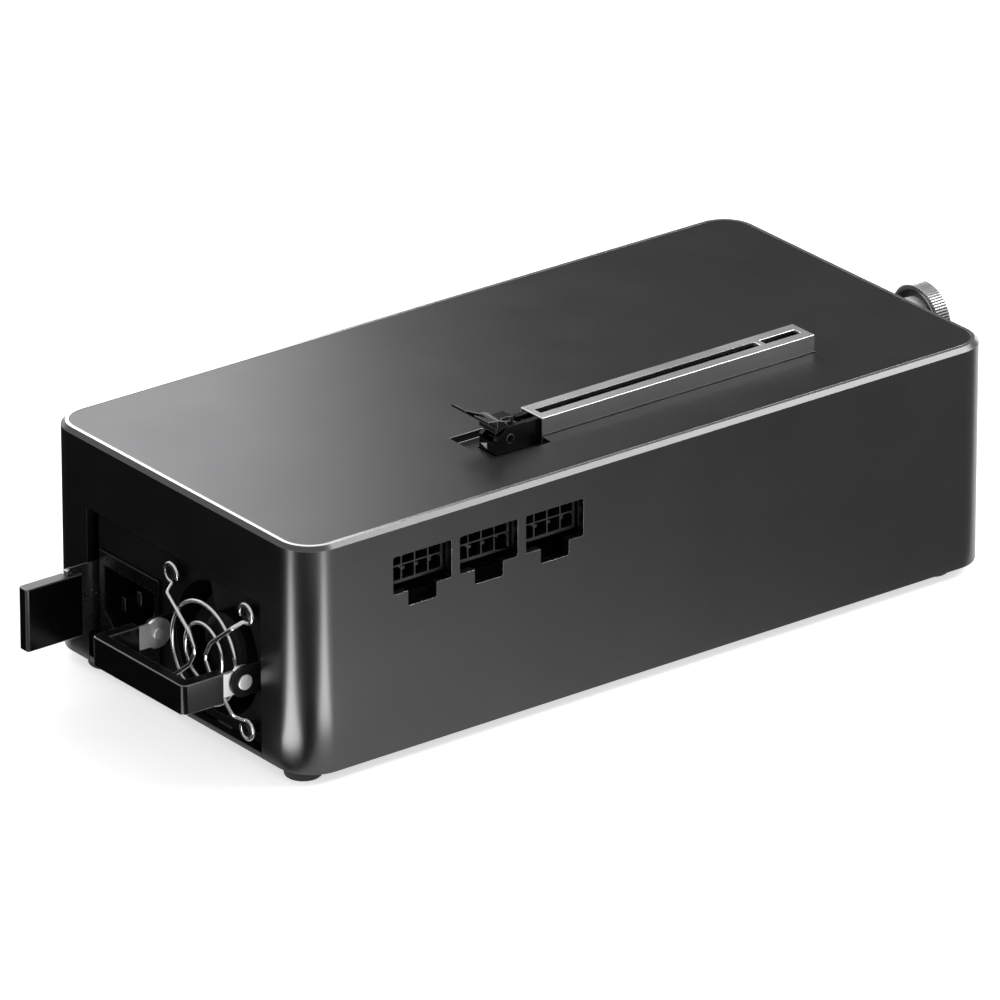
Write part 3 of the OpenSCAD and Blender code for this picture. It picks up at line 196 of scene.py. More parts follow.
# The body: one length of thick-walled aluminium, milled from the solid, bead-blasted and
# anodised dark grey. Its top edge is bevelled, and the sockets and the bay are milled through.
mm = 0.001


def finish(name, colour, rough, metal=0.0, grain=0.5, depth=0.02, shift=0.1, spread=0.04,
           stretch=(1, 1, 1), level=0.5):
    """a made surface: base colour that shifts by patches, fine grain in mm for bump and roughness"""
    patch, fine_share = 18, 0.45
    look = bpy.data.materials.new(name)
    look.use_nodes = True
    tree = look.node_tree
    shader = tree.nodes["Principled BSDF"]
    shader.inputs["Metallic"].default_value = metal
    shader.inputs["Specular IOR Level"].default_value = level
    place = tree.nodes.new("ShaderNodeTexCoord")
    run = tree.nodes.new("ShaderNodeMapping")
    run.inputs["Scale"].default_value = stretch
    tree.links.new(place.outputs["Object"], run.inputs["Vector"])
    fine = tree.nodes.new("ShaderNodeTexNoise")
    fine.inputs["Scale"].default_value = 1 / (grain * mm)
    fine.inputs["Detail"].default_value = 3
    tree.links.new(run.outputs["Vector"], fine.inputs["Vector"])
    wide = tree.nodes.new("ShaderNodeTexNoise")
    wide.inputs["Scale"].default_value = 1 / (patch * mm)
    wide.inputs["Detail"].default_value = 4
    tree.links.new(place.outputs["Object"], wide.inputs["Vector"])
    tone = tree.nodes.new("ShaderNodeMix")
    tone.data_type = "RGBA"
    tone.inputs[6].default_value = tuple(c * (1 - shift) for c in colour) + (1,)
    tone.inputs[7].default_value = tuple(min(1, c * (1 + shift)) for c in colour) + (1,)
    blend = tree.nodes.new("ShaderNodeMath")
    blend.operation = "MULTIPLY_ADD"
    blend.inputs[1].default_value = fine_share
    tree.links.new(fine.outputs["Fac"], blend.inputs[0])
    half = tree.nodes.new("ShaderNodeMath")
    half.operation = "MULTIPLY"
    half.inputs[1].default_value = 1 - fine_share
    wired(tree, (wide.outputs["Fac"], half.inputs[0]), (half.outputs[0], blend.inputs[2]),
          (blend.outputs[0], tone.inputs[0]), (tone.outputs[2], shader.inputs["Base Color"]))
    gloss = tree.nodes.new("ShaderNodeMapRange")
    gloss.inputs["From Min"].default_value = 0.3
    gloss.inputs["From Max"].default_value = 0.7
    gloss.inputs["To Min"].default_value = max(0.02, rough - spread)
    gloss.inputs["To Max"].default_value = min(1, rough + spread)
    wired(tree, (blend.outputs[0], gloss.inputs["Value"]),
          (gloss.outputs["Result"], shader.inputs["Roughness"]))
    bump = tree.nodes.new("ShaderNodeBump")
    bump.inputs["Strength"].default_value = 0.6
    bump.inputs["Distance"].default_value = depth * mm
    wired(tree, (fine.outputs["Fac"], bump.inputs["Height"]),
          (bump.outputs["Normal"], shader.inputs["Normal"]))
    return look


def as_object(name, shape):
    """a new object from a bmesh, which is freed"""
    mesh = bpy.data.meshes.new(name)
    shape.to_mesh(mesh)
    shape.free()
    made = bpy.data.objects.new(name, mesh)
    scene.collection.objects.link(made)
    return made


def settled(made):
    """the object's live modifiers turned into its own plain mesh"""
    bpy.context.view_layer.update()
    mesh = bpy.data.meshes.new_from_object(made.evaluated_get(bpy.context.evaluated_depsgraph_get()))
    mesh.name = made.name
    made.modifiers.clear()
    made.data = mesh
    return made


def rounded(made, width, segments, angle, edge_slot):
    """breaks the sharp edges by a width in mm, in a look of their own where a slot is given"""
    bevel = made.modifiers.new("edge", "BEVEL")
    bevel.width = width * mm
    bevel.segments = segments
    bevel.limit_method = "ANGLE"
    bevel.angle_limit = math.radians(angle)
    bevel.material = edge_slot
    flat = made.modifiers.new("flats", "WEIGHTED_NORMAL")
    flat.mode = "FACE_AREA"
    flat.weight = 100
    flat.keep_sharp = True
    made.data.polygons.foreach_set("use_smooth", [True] * len(made.data.polygons))
    return settled(made)


def from_solid(node, name, width, segments=2, angle=30, edge_slot=-1, looks=()):
    """a copy of a node's solid, its loose triangles merged, with its edges broken"""
    shape = bmesh.new()
    shape.from_mesh(nodes[node].data)
    bmesh.ops.remove_doubles(shape, verts=shape.verts, dist=0.003 * mm)
    bmesh.ops.dissolve_limit(shape, angle_limit=math.radians(0.4), verts=shape.verts, edges=shape.edges)
    made = as_object(name, shape)
    for face in made.data.polygons:
        face.material_index = 0
    made.data.materials.clear()
    for look in looks:
        made.data.materials.append(look)
    return rounded(made, width, segments, angle, edge_slot)


def fitted(made, body, slot, *stands_for):
    """puts a piece on its body and in place of its CAD nodes, which it hides; slot is not used"""
    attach(made, body)
    if stands_for:
        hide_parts(*stands_for)
    return made


anodised = finish("dark_anodised_aluminium", (0.074, 0.074, 0.075), 0.3, metal=1, grain=0.45, depth=0.012,
                  shift=0.14, spread=0.03)
milled_edge = finish("milled_edge", (0.2, 0.2, 0.2), 0.32, metal=1, grain=0.4, depth=0.006, shift=0.15)
# The top rim and the bevelled edges of the socket openings take a brighter bare metal: partly the real
# machined rim, partly a painted highlight.
rim_finish_and_painted_highlight = finish("bare_machined_rim_and_painted_highlight", (0.46, 0.46, 0.47), 0.28, metal=1, grain=0.4, depth=0.006,
                    shift=0.04)
body = from_solid("shell", "milled_body", 0.16, edge_slot=1, looks=(anodised, milled_edge, rim_finish_and_painted_highlight))
low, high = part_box("shell")
sockets_low, sockets_high = 40 * mm, 60 * mm
# Painted highlight, partly real machined metal: the rim's top faces and the socket openings' edges get the
# brighter finish.
for face in body.data.polygons:
    on_rim = face.center.z > high.z - 0.03 * mm and face.normal.z > 0.9
    by_sockets = face.center.y < low.y + 1 * mm and sockets_low < face.center.z < sockets_high
    if on_rim or face.material_index == 1 and by_sockets:
        face.material_index = 2
fitted(body, "chassis", "body_aluminium", "shell")

# The top panel: a plate of the same aluminium let into the body's rim, cut out for the card
# slot and pocketed round its latch.
panel_finish = finish("panel_anodised", (0.078, 0.078, 0.081), 0.38, metal=1, grain=0.45, depth=0.012,
                      shift=0.12, spread=0.03)
panel = from_solid("top_panel", "inset_panel", 0.12, edge_slot=1, looks=(panel_finish, milled_edge))
fitted(panel, "chassis", "panel_aluminium", "top_panel")

# Under the body: a thin plate with slots for air, held up into the corner columns by
# countersunk screws, and four turned rubber feet stuck to the body's lower edge.
plate = from_solid("bottom_plate", "vented_bottom_plate", 0.15, looks=(anodised,))
fitted(plate, "chassis", "body_aluminium", "bottom_plate")


def new_tree(name, *inputs):
    """an empty node tree with named inputs, and its two ends"""
    tree = bpy.data.node_groups.new(name, "GeometryNodeTree")
    tree.interface.new_socket("Geometry", in_out="INPUT", socket_type="NodeSocketGeometry")
    for label, kind in inputs:
        tree.interface.new_socket(label, in_out="INPUT", socket_type="NodeSocket" + kind)
    tree.interface.new_socket("Geometry", in_out="OUTPUT", socket_type="NodeSocketGeometry")
    return tree, tree.nodes.new("NodeGroupInput"), tree.nodes.new("NodeGroupOutput")


def grown(made, tree, **values):
    """runs a node tree on an object's own mesh, with its inputs set by identifier"""
    growth = made.modifiers.new("grown", "NODES")
    growth.node_group = tree
    for item in tree.interface.items_tree:
        if item.in_out == "INPUT" and item.name in values:
            growth[item.identifier] = values[item.name]
    return settled(made)


rows, start, end = new_tree("rows_of_copies", ("Columns", "Int"), ("Rows", "Int"), ("First", "Vector"),
                            ("Column_step", "Vector"), ("Row_step", "Vector"), ("Finish", "Material"))
across = rows.nodes.new("GeometryNodeMeshLine")
along = rows.nodes.new("GeometryNodeMeshLine")
lay = rows.nodes.new("GeometryNodeInstanceOnPoints")
grid = rows.nodes.new("GeometryNodeRealizeInstances")
put = rows.nodes.new("GeometryNodeInstanceOnPoints")
real = rows.nodes.new("GeometryNodeRealizeInstances")
coat = rows.nodes.new("GeometryNodeSetMaterial")
wired(rows, (start.outputs["Columns"], across.inputs["Count"]),
      (start.outputs["First"], across.inputs["Start Location"]),
      (start.outputs["Column_step"], across.inputs["Offset"]), (start.outputs["Rows"], along.inputs["Count"]),
      (start.outputs["Row_step"], along.inputs["Offset"]), (across.outputs[0], lay.inputs["Points"]),
      (along.outputs[0], lay.inputs["Instance"]), (lay.outputs[0], grid.inputs[0]),
      (grid.outputs[0], put.inputs["Points"]), (start.outputs["Geometry"], put.inputs["Instance"]),
      (put.outputs[0], real.inputs[0]), (real.outputs[0], coat.inputs[0]),
      (start.outputs["Finish"], coat.inputs["Material"]), (coat.outputs[0], end.inputs[0]))


def turned(name, profile, steps):
    """a lathe shape about Z from (radius, height) pairs in mm; pairs at radius 0 close it"""
    shape = bmesh.new()
    rings = []
    for r, z in profile:
        if r == 0:
            rings.append([shape.verts.new((0, 0, z * mm))])
        else:
            rings.append([shape.verts.new((r * mm * math.cos(2 * math.pi * k / steps),
                                           r * mm * math.sin(2 * math.pi * k / steps), z * mm))
                          for k in range(steps)])
    pairs = list(zip(rings, rings[1:]))
    if profile[0][0] and profile[-1][0]:
        pairs.append((rings[-1], rings[0]))
    for low, high in pairs:
        for k in range(steps):
            ring = [low[k % len(low)], low[(k + 1) % len(low)],
                    high[(k + 1) % len(high)], high[k % len(high)]]
            ring = [v for i, v in enumerate(ring) if v not in ring[:i]]
            if len(ring) > 2:
                shape.faces.new(ring)
    bmesh.ops.recalc_face_normals(shape, faces=shape.faces)
    eased(shape, 35)
    return as_object(name, shape)


def eased(shape, sharp):
    """smooth shading, broken at edges sharper than the given angle in degrees"""
    shape.normal_update()
    for face in shape.faces:
        face.smooth = True
    for edge in shape.edges:
        edge.smooth = len(edge.link_faces) == 2 and edge.calc_face_angle(0) < math.radians(sharp)


zinc = finish("zinc_plated_steel", (0.55, 0.56, 0.58), 0.28, metal=1, grain=0.3, depth=0.006, shift=0.08)


def socket_screw(name, head_r, head_h, shank_r, shank_l, key_r, key_d, flat=False):
    """a screw about Z with a turned round key socket, its head's top at z 0"""
    key = 0.62 * head_r
    outside = [(0, -shank_l), (shank_r * 0.7, -shank_l), (shank_r, -shank_l + 0.4), (shank_r, -head_h)]
    if not flat:
        outside += [(head_r - 0.15, -head_h), (head_r, -head_h + 0.15)]
    outside += [(head_r, -0.22), (head_r - 0.2, 0), (key + 0.25, 0), (key_r, -0.15), (key_r, -key_d),
                (0, -key_d - 0.3)]
    return turned(name, outside, 24)


head_r = 3
screw = socket_screw("countersunk_screws", head_r, 1.3, 1.5, 8, 1.15, 0.8, flat=True)
screw.data.transform(Matrix.Rotation(math.pi, 4, "X"))
low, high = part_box("bottom_screws")
screw.data.transform(Matrix.Translation((low.x + head_r * mm, low.y + head_r * mm, low.z)))
grown(screw, rows, Columns=2, Rows=2, Column_step=(high.x - low.x - 2 * head_r * mm, 0, 0),
      Row_step=(0, high.y - low.y - 2 * head_r * mm, 0), Finish=zinc)
fitted(screw, "chassis", "bright_steel", "bottom_screws")

rubber = finish("foot_rubber", (0.012, 0.012, 0.012), 0.72, grain=0.35, depth=0.03, shift=0.2)
foot_r = 5
foot = turned("rubber_feet", [(0, 0.35), (2.2, 0.35), (2.5, 0.1), (3.1, 0), (4.2, 0), (4.55, 0.12),
                              (4.85, 0.4), (foot_r, 0.85), (foot_r, 2.75), (4.9, 3), (0, 3)], 56)
low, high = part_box("feet")
foot.data.transform(Matrix.Translation((low.x + foot_r * mm, low.y + foot_r * mm, 0)))
grown(foot, rows, Columns=2, Rows=2, Column_step=(high.x - low.x - 2 * foot_r * mm, 0, 0),
      Row_step=(0, high.y - low.y - 2 * foot_r * mm, 0), Finish=rubber)
fitted(foot, "chassis", "foot_rubber", "feet")

# The card slot: a black moulding with two rows of spring contacts, in a folded and polished
# steel cladding that stiffens it under a heavy card, with a neck and a latch block behind it.
slot_plastic = finish("slot_plastic", (0.003, 0.003, 0.0032), 0.34, grain=0.3, depth=0.008, shift=0.15,
                      spread=0.06, level=0.22)
polished = finish("polished_cladding", (0.82, 0.82, 0.83), 0.36, metal=1, grain=0.25, depth=0.004, shift=0.05,
                  stretch=(0.06, 1, 1), spread=0.06)
moulding = from_solid("slot_housing", "slot_moulding", 0.14, looks=(slot_plastic,))
fitted(moulding, "chassis", "black_plastic", "slot_housing")
# Painted shade: the cladding's faces that look along y get a darker copy of the same polished steel.
flank_painted_shade = finish("cladding_flank_painted_shade", (0.34, 0.34, 0.345), 0.3, metal=1, grain=0.25, depth=0.004, shift=0.08,
                   stretch=(0.06, 1, 1))
cladding = from_solid("slot_cladding", "slot_cladding_fold", 0.14, segments=3, looks=(polished, flank_painted_shade))
for face in cladding.data.polygons:
    if abs(face.normal.y) > 0.9:
        face.material_index = 1
fitted(cladding, "chassis", "bright_steel", "slot_cladding")

gold = finish("gold_flash", (0.75, 0.52, 0.2), 0.25, metal=1, grain=0.2, depth=0.003, shift=0.06)
low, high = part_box("slot_contacts")
spring = [(0, 0), (0.12, 0.9), (0.34, 2.6), (0.5, 4.1), (0.38, 5.1), (0.08, 5.9), (0.0, 6.5)]
spring_pitch, spring_w, spring_t, lean_share = 1, 0.6, 0.13, 0.4
shape = bmesh.new()
for side in (1, -1):
    y0 = high.y if side > 0 else low.y
    bends = []
    for lean, height in spring:
        for thick in (0, spring_t):
            y = y0 - side * (lean * lean_share + thick) * mm
            bends.append([shape.verts.new((x * mm, y, low.z + height * mm))
                          for x in (-spring_w / 2, spring_w / 2)])
    for k in range(0, len(bends) - 2, 2):
        outer, inner, outer2, inner2 = bends[k:k + 4]
        shape.faces.new((outer[0], outer[1], outer2[1], outer2[0]))
        shape.faces.new((inner[1], inner[0], inner2[0], inner2[1]))
        shape.faces.new((outer[0], outer2[0], inner2[0], inner[0]))
        shape.faces.new((outer2[1], outer[1], inner[1], inner2[1]))
    for k in (0, len(bends) - 2):
        shape.faces.new((bends[k][0], bends[k][1], bends[k + 1][1], bends[k + 1][0]))
bmesh.ops.recalc_face_normals(shape, faces=shape.faces)
eased(shape, 40)
springs = as_object("slot_springs", shape)
short = springs.copy()
short.data = springs.data.copy()
scene.collection.objects.link(short)
for row, count, first_x, way in ((springs, 71, low.x + spring_w / 2 * mm, 1),
                                 (short, 11, high.x - spring_w / 2 * mm, -1)):
    grown(row, rows, Columns=count, Rows=1, First=(first_x, 0, 0),
          Column_step=(way * spring_pitch * mm, 0, 0), Row_step=(0, 0, 0), Finish=gold)
shape = bmesh.new()
shape.from_mesh(springs.data)
shape.from_mesh(short.data)
bpy.data.objects.remove(short)
shape.to_mesh(springs.data)
shape.free()
fitted(springs, "chassis", "contact_brass", "slot_contacts")

# The slot's mark: a small white triangle printed on the end of the latch block, which shows
# the way its lever goes.
ink = finish("white_print", (0.95, 0.95, 0.95), 0.6, grain=0.2, depth=0.004, shift=0.03)
shape = bmesh.new()
tri = [(-28.2, 63.9), (-25.6, 64.75), (-28.2, 65.6)]
low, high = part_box("slot_housing")
ends = [[shape.verts.new((low.x - t * mm, y * mm, z * mm)) for y, z in tri] for t in (0.05, -0.1)]
shape.faces.new(ends[0])
shape.faces.new(ends[1][::-1])
for k in range(3):
    shape.faces.new((ends[0][k], ends[1][k], ends[1][(k + 1) % 3], ends[0][(k + 1) % 3]))
bmesh.ops.recalc_face_normals(shape, faces=shape.faces)
mark = as_object("latch_mark", shape)
mark.data.materials.append(ink)
fitted(mark, "chassis", "black_plastic")

# The card latch: one black moulding whose stem turns between the block's cheeks on two
# trunnions; its head and two thumb wings are pressed down and back to let a card go.
latch_plastic = finish("latch_plastic", (0.004, 0.004, 0.0042), 0.16, grain=0.3, depth=0.004, shift=0.12,
                       spread=0.06)
# Painted highlight: the lever's bevelled edges are a light grey instead of the black of its plastic.
latch_edge_painted_highlight = finish("latch_edge_painted_highlight", (0.2, 0.2, 0.202), 0.3, grain=0.3, depth=0.004, shift=0.1)
lever = from_solid("retention_lever", "card_latch_lever", 0.14, angle=18, edge_slot=1,
                   looks=(latch_plastic, latch_edge_painted_highlight))
fitted(lever, "card_latch", "black_plastic", "retention_lever")

# The power sockets: three eight-way headers of glossy black plastic on the main board's edge.
# Two cells of the lower row have a domed top, so that a plug goes in only one way.
header_plastic = finish("header_plastic", (0.004, 0.004, 0.0045), 0.3, grain=0.3, depth=0.01, shift=0.12,
                        spread=0.05)
# Painted highlight: the headers' bevelled edges are a lighter grey than their black plastic.
cell_rim_painted_highlight = finish("cell_rim_painted_highlight", (0.045, 0.045, 0.046), 0.4, grain=0.3, depth=0.01, shift=0.12)
for number in (1, 2, 3):
    header = from_solid(f"power_header_{number}", f"eight_way_header_{number}", 0.075, edge_slot=1,
                        looks=(header_plastic, cell_rim_painted_highlight))
    fitted(header, "chassis", "black_gloss", f"power_header_{number}")
# Painted shade: the header pins are a dark grey, far darker than tin, for the shade they sit in; the inlet
# blades take the same colour.
pin_metal_painted_shade = finish("tinned_pins_painted_shade", (0.06, 0.058, 0.054), 0.35, metal=1, grain=0.2, depth=0.003, shift=0.06)
pins = from_solid("header_pins", "tapered_pins", 0.28, segments=3, looks=(pin_metal_painted_shade,))
fitted(pins, "chassis", "bright_steel", "header_pins")

# Under the top panel: the main board on six standoffs, with its signal chip, its capacitors
# and the host port's steel shell, which are soldered to it.
def board_look(name, base, line, pitch):
    """solder mask over copper tracks"""
    look = finish(name, base, 0.36, grain=0.6, depth=0.01, shift=0.12, spread=0.05)
    tree = look.node_tree
    shader = tree.nodes["Principled BSDF"]
    place = tree.nodes.new("ShaderNodeTexCoord")
    tracks = tree.nodes.new("ShaderNodeTexBrick")
    tracks.inputs["Scale"].default_value = 1
    tracks.inputs["Brick Width"].default_value = pitch * 5.5 * mm
    tracks.inputs["Row Height"].default_value = pitch * mm
    tracks.inputs["Mortar Size"].default_value = 0.12 * mm
    tracks.inputs["Color1"].default_value = (0, 0, 0, 1)
    tracks.inputs["Color2"].default_value = (0, 0, 0, 1)
    tracks.inputs["Mortar"].default_value = (1, 1, 1, 1)
    tree.links.new(place.outputs["Object"], tracks.inputs["Vector"])
    pick = tree.nodes.new("ShaderNodeMix")
    pick.data_type = "RGBA"
    pick.inputs[7].default_value = line + (1,)
    old = shader.inputs["Base Color"].links[0].from_socket
    wired(tree, (tracks.outputs["Color"], pick.inputs[0]), (old, pick.inputs[6]),
          (pick.outputs[2], shader.inputs["Base Color"]))
    return look


mask = board_look("solder_mask", (0.012, 0.028, 0.02), (0.03, 0.07, 0.045), 1.27)


def dressed(node, look):
    """a node whose shape is right gets its finish, and keeps its mesh"""
    made = nodes[node]
    made.data.materials.clear()
    made.data.materials.append(look)


chip_plastic = finish("chip_plastic", (0.018, 0.018, 0.018), 0.55, grain=0.2, depth=0.01, shift=0.1)
can = finish("capacitor_can", (0.6, 0.6, 0.62), 0.3, metal=1, grain=0.4, depth=0.004, shift=0.06,
             stretch=(1, 1, 0.1))
dressed("main_board", mask)
dressed("backplane", mask)
dressed("board_standoffs", zinc)
dressed("board_screws", zinc)
dressed("signal_chip", chip_plastic)
dressed("board_capacitors", can)
port = from_solid("host_port_shell", "host_port_sleeve", 0.15, segments=3, looks=(polished,))
fitted(port, "chassis", "bright_steel", "host_port_shell")
dressed("host_port_tongue", slot_plastic)

# Inside the bay: folded guide rails beside the supply, and the receptacle on the backplane
# that takes the supply's card edge, with two copper bars up to the main board.
copper = finish("bus_copper", (0.62, 0.3, 0.17), 0.32, metal=1, grain=0.3, depth=0.006, shift=0.12)
rail_steel = finish("galvanised_rail", (0.42, 0.43, 0.45), 0.38, metal=1, grain=1.6, depth=0.01, shift=0.18)
receptacle = from_solid("supply_receptacle", "card_edge_receptacle", 0.3, looks=(slot_plastic,))
fitted(receptacle, "chassis", "black_plastic", "supply_receptacle")
dressed("bus_bars", copper)
dressed("guide_rails", rail_steel)

# The bracket screw: a turned and chromed M5 thumb screw with a straight-knurled head that is hollow
# on its near face, over a black washer and a steel bush in the end wall. The hollow and the knurls'
# roots carry painted shade.
chrome = finish("bright_collar", (0.95, 0.95, 0.95), 0.55, metal=1, grain=0.3, depth=0.003, shift=0.03)
knurled = finish("knurled_steel", (0.36, 0.36, 0.365), 0.3, metal=1, grain=0.25, depth=0.004, shift=0.06)
# Black for the washer, its own colour; the same black on the knob's hollow near face is painted shade.
black_and_painted_hollow_shade = finish("black_washer_and_painted_hollow_shade", (0.01, 0.01, 0.01), 0.5, grain=0.3, depth=0.01, shift=0.1)
# Painted shade: the roots between the knurl ridges are darker than the steel of the ridges.
knurl_root_painted_shade = finish("dark_knurl_root_painted_shade", (0.03, 0.03, 0.031), 0.5, metal=1, grain=0.3, depth=0.006, shift=0.1)
dressed("bracket_bush", zinc)
washer = from_solid("screw_washer", "black_washer", 0.1, looks=(black_and_painted_hollow_shade,))
fitted(washer, "washer", "black_plastic", "screw_washer")
turns, start, end = new_tree("copies_round_an_axis", ("Count", "Int"), ("Step", "Float"),
                             ("Finish", "Material"))
line = turns.nodes.new("GeometryNodeMeshLine")
line.inputs["Offset"].default_value = (0, 0, 0)
index = turns.nodes.new("GeometryNodeInputIndex")
times = turns.nodes.new("ShaderNodeMath")
times.operation = "MULTIPLY"
spin = turns.nodes.new("ShaderNodeCombineXYZ")
put = turns.nodes.new("GeometryNodeInstanceOnPoints")
real = turns.nodes.new("GeometryNodeRealizeInstances")
coat = turns.nodes.new("GeometryNodeSetMaterial")
wired(turns, (start.outputs["Count"], line.inputs["Count"]), (index.outputs[0], times.inputs[0]),
      (start.outputs["Step"], times.inputs[1]), (times.outputs[0], spin.inputs["Z"]),
      (line.outputs[0], put.inputs["Points"]), (start.outputs["Geometry"], put.inputs["Instance"]),
      (spin.outputs[0], put.inputs["Rotation"]), (put.outputs[0], real.inputs[0]),
      (real.outputs[0], coat.inputs[0]), (start.outputs["Finish"], coat.inputs["Material"]),
      (coat.outputs[0], end.inputs[0]))


def joined(name, parts, looks):
    """several meshes as one piece, each with one finish, or with its own where that is None"""
    shape = bmesh.new()
    for part, slot in parts:
        first = len(shape.faces)
        shape.from_mesh(part.data)
        shape.faces.ensure_lookup_table()
        if slot is not None:
            for face in shape.faces[first:]:
                face.material_index = slot
        bpy.data.objects.remove(part)
    made = as_object(name, shape)
    for look in looks:
        made.data.materials.append(look)
    return made


knurls = 80
head_t, root_r, ridge_h = 4.8, 9.62, 0.36
hollow_r, band_r = 8.7, 9.5
low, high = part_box("bracket_screw")
knob_axis = Vector((0, (low.y + high.y) / 2, (low.z + high.z) / 2))
head_x = high.x - head_t * mm
core = turned("knob_core", [(0, 0.9), (8.3, 0.9), (8.6, 0.6), (8.6, 0.12), (8.75, 0), (9.45, 0),
                            (root_r, 0.25), (root_r, 4.5), (9.2, head_t), (7.2, head_t), (6.9, 4.6),
                            (0, 4.6)], 2 * knurls)
shape = bmesh.new()
half = math.pi / knurls
ridge = []
for z, grow in ((0.16, 0.0), (0.42, 1.0), (4.36, 1.0), (4.66, 0.0)):
    ring = []
    crest_r = root_r + ridge_h * grow
    for turn, r in ((-0.92, 9.55), (-0.3, crest_r), (0.3, crest_r), (0.92, 9.55)):
        a = turn * half
        ring.append(shape.verts.new((r * mm * math.cos(a), r * mm * math.sin(a), z * mm)))
    ridge.append(ring)
for one, two in zip(ridge, ridge[1:]):
    for k in range(3):
        shape.faces.new((one[k], one[k + 1], two[k + 1], two[k]))
bmesh.ops.recalc_face_normals(shape, faces=shape.faces)
if sum(f.normal.x for f in shape.faces) < 0:
    bmesh.ops.reverse_faces(shape, faces=shape.faces)
ridges = as_object("knob_ridges", shape)
grown(ridges, turns, Count=knurls, Step=2 * half, Finish=knurled)
shank = turned("knob_shank", [(0, -15.6), (1.9, -15.6), (2.4, -15.1), (2.5, -14.8), (2.5, -3.6), (6.2, -3.6),
                              (6.5, -3.3), (6.5, 1.0), (0, 1.0)], 64)
upright = Matrix.Translation((head_x, knob_axis.y, knob_axis.z)) @ Matrix.Rotation(math.pi / 2, 4, "Y")
for part in (core, ridges, shank):
    part.data.transform(upright)
# The hollow near face and the roots between the ridges get painted shade; the rest of the head is knurled
# steel.
for face in core.data.polygons:
    r = math.hypot(face.center.y - knob_axis.y, face.center.z - knob_axis.z)
    face.material_index = 2 if face.normal.x < -0.5 and r < hollow_r * mm else 3 if r > band_r * mm else 0
knob = joined("knurled_thumb_screw", ((core, None), (ridges, 0), (shank, 1)),
              (knurled, chrome, black_and_painted_hollow_shade, knurl_root_painted_shade))
fitted(knob, "screw", "knurled_metal", "bracket_screw")

# The supply's case: a tray and a lid of sheet steel, folded, powder-coated black and screwed
# together, with two ears on its face for the handle.
coated = finish("black_powder_coat", (0.005, 0.005, 0.0052), 0.45, grain=0.4, depth=0.008, shift=0.12,
                spread=0.04, level=0.12)
# The bevelled edges of the tray and lid take a lighter, part-metallic grey.
lighter_sheet_edge = finish("lighter_sheet_edge_metal", (0.05, 0.05, 0.052), 0.4, metal=0.4, grain=0.3, depth=0.008, shift=0.1)
tray = from_solid("supply_tray", "folded_tray", 0.16, edge_slot=1, looks=(coated, lighter_sheet_edge))
fitted(tray, "supply", "black_steel", "supply_tray")
lid = from_solid("supply_cover", "case_lid", 0.16, edge_slot=1, looks=(coated, lighter_sheet_edge))
fitted(lid, "supply", "black_steel", "supply_cover")
dressed("cover_screws", zinc)

# The mains inlet: a glossy moulding snapped into the tray's face, with three flat pins.
inlet_plastic = finish("inlet_plastic", (0.003, 0.003, 0.003), 0.28, grain=0.3, depth=0.003, shift=0.1,
                       level=0.2)
inlet = from_solid("inlet_body", "inlet_moulding", 0.3, segments=3, looks=(inlet_plastic,))
fitted(inlet, "supply", "black_gloss", "inlet_body")
# The blades take the darkened pin metal, which is painted shade.
blades = from_solid("inlet_pins", "inlet_blades", 0.35, segments=3, looks=(pin_metal_painted_shade,))
fitted(blades, "supply", "bright_steel", "inlet_pins")

# The fan: a square black frame behind the face, a bladed rotor, and a guard of chromed wire
# (two rings, two bent wires welded across them) whose hooks sit under the four fan screws.
fan_plastic = finish("fan_plastic", (0.003, 0.003, 0.0032), 0.42, grain=0.3, depth=0.006, shift=0.12,
                     level=0.15)
wire_chrome = finish("chromed_wire", (0.55, 0.55, 0.555), 0.24, metal=1, grain=0.3, depth=0.003, shift=0.04)
casing = from_solid("fan_frame", "fan_casing", 0.3, segments=3, looks=(fan_plastic,))
fitted(casing, "supply", "black_plastic", "fan_frame")
low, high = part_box("fan_rotor")
fan_axis = Vector((low.x, (low.y + high.y) / 2, (low.z + high.z) / 2))
along_x = Matrix.Translation(fan_axis) @ Matrix.Rotation(math.pi / 2, 4, "Y")
hub = turned("rotor_hub", [(0, 0.25), (6.2, 0.25), (6.5, 0.05), (8.2, 0), (8.75, 0.2), (9, 0.7), (9, 12),
                           (7.6, 12), (7.6, 1.6), (1.5, 1.6), (1.5, 18.4), (0, 18.4)], 64)
root_r, blade_l, blade_z, blade_half_t, camber, sweep = 8.8, 7.95, 6, 0.45, 0.5, 0.1
root_pitch, twist, root_chord, flare = 44, 12, 8.6, 1.6
blade_count, out_steps, over_steps = 7, 8, 6
shape = bmesh.new()
grid = []
for i in range(out_steps + 1):
    r = root_r + blade_l * i / out_steps
    row = []
    for k in range(over_steps + 1):
        u = k / over_steps - 0.5
        pitch = math.radians(root_pitch - twist * i / out_steps)
        chord = root_chord + flare * i / out_steps
        swing = u * chord * math.cos(pitch) / r + sweep * (i / out_steps) ** 2
        z = blade_z + u * chord * math.sin(pitch) + camber * (1 - 4 * u * u)
        row.append((r, swing, z))
    grid.append(row)
sides = []
for lift in (-blade_half_t, blade_half_t):
    sides.append([[shape.verts.new((r * mm * math.cos(a), r * mm * math.sin(a), (z + lift) * mm))
                   for r, a, z in row] for row in grid])
for part, flip in ((sides[0], False), (sides[1], True)):
    for i in range(out_steps):
        for k in range(over_steps):
            ring = [part[i][k], part[i + 1][k], part[i + 1][k + 1], part[i][k + 1]]
            shape.faces.new(ring[::-1] if flip else ring)
rim = [(i, 0) for i in range(out_steps + 1)] + [(out_steps, k) for k in range(1, over_steps + 1)] + \
    [(i, over_steps) for i in range(out_steps - 1, -1, -1)] + [(0, k) for k in range(over_steps - 1, 0, -1)]
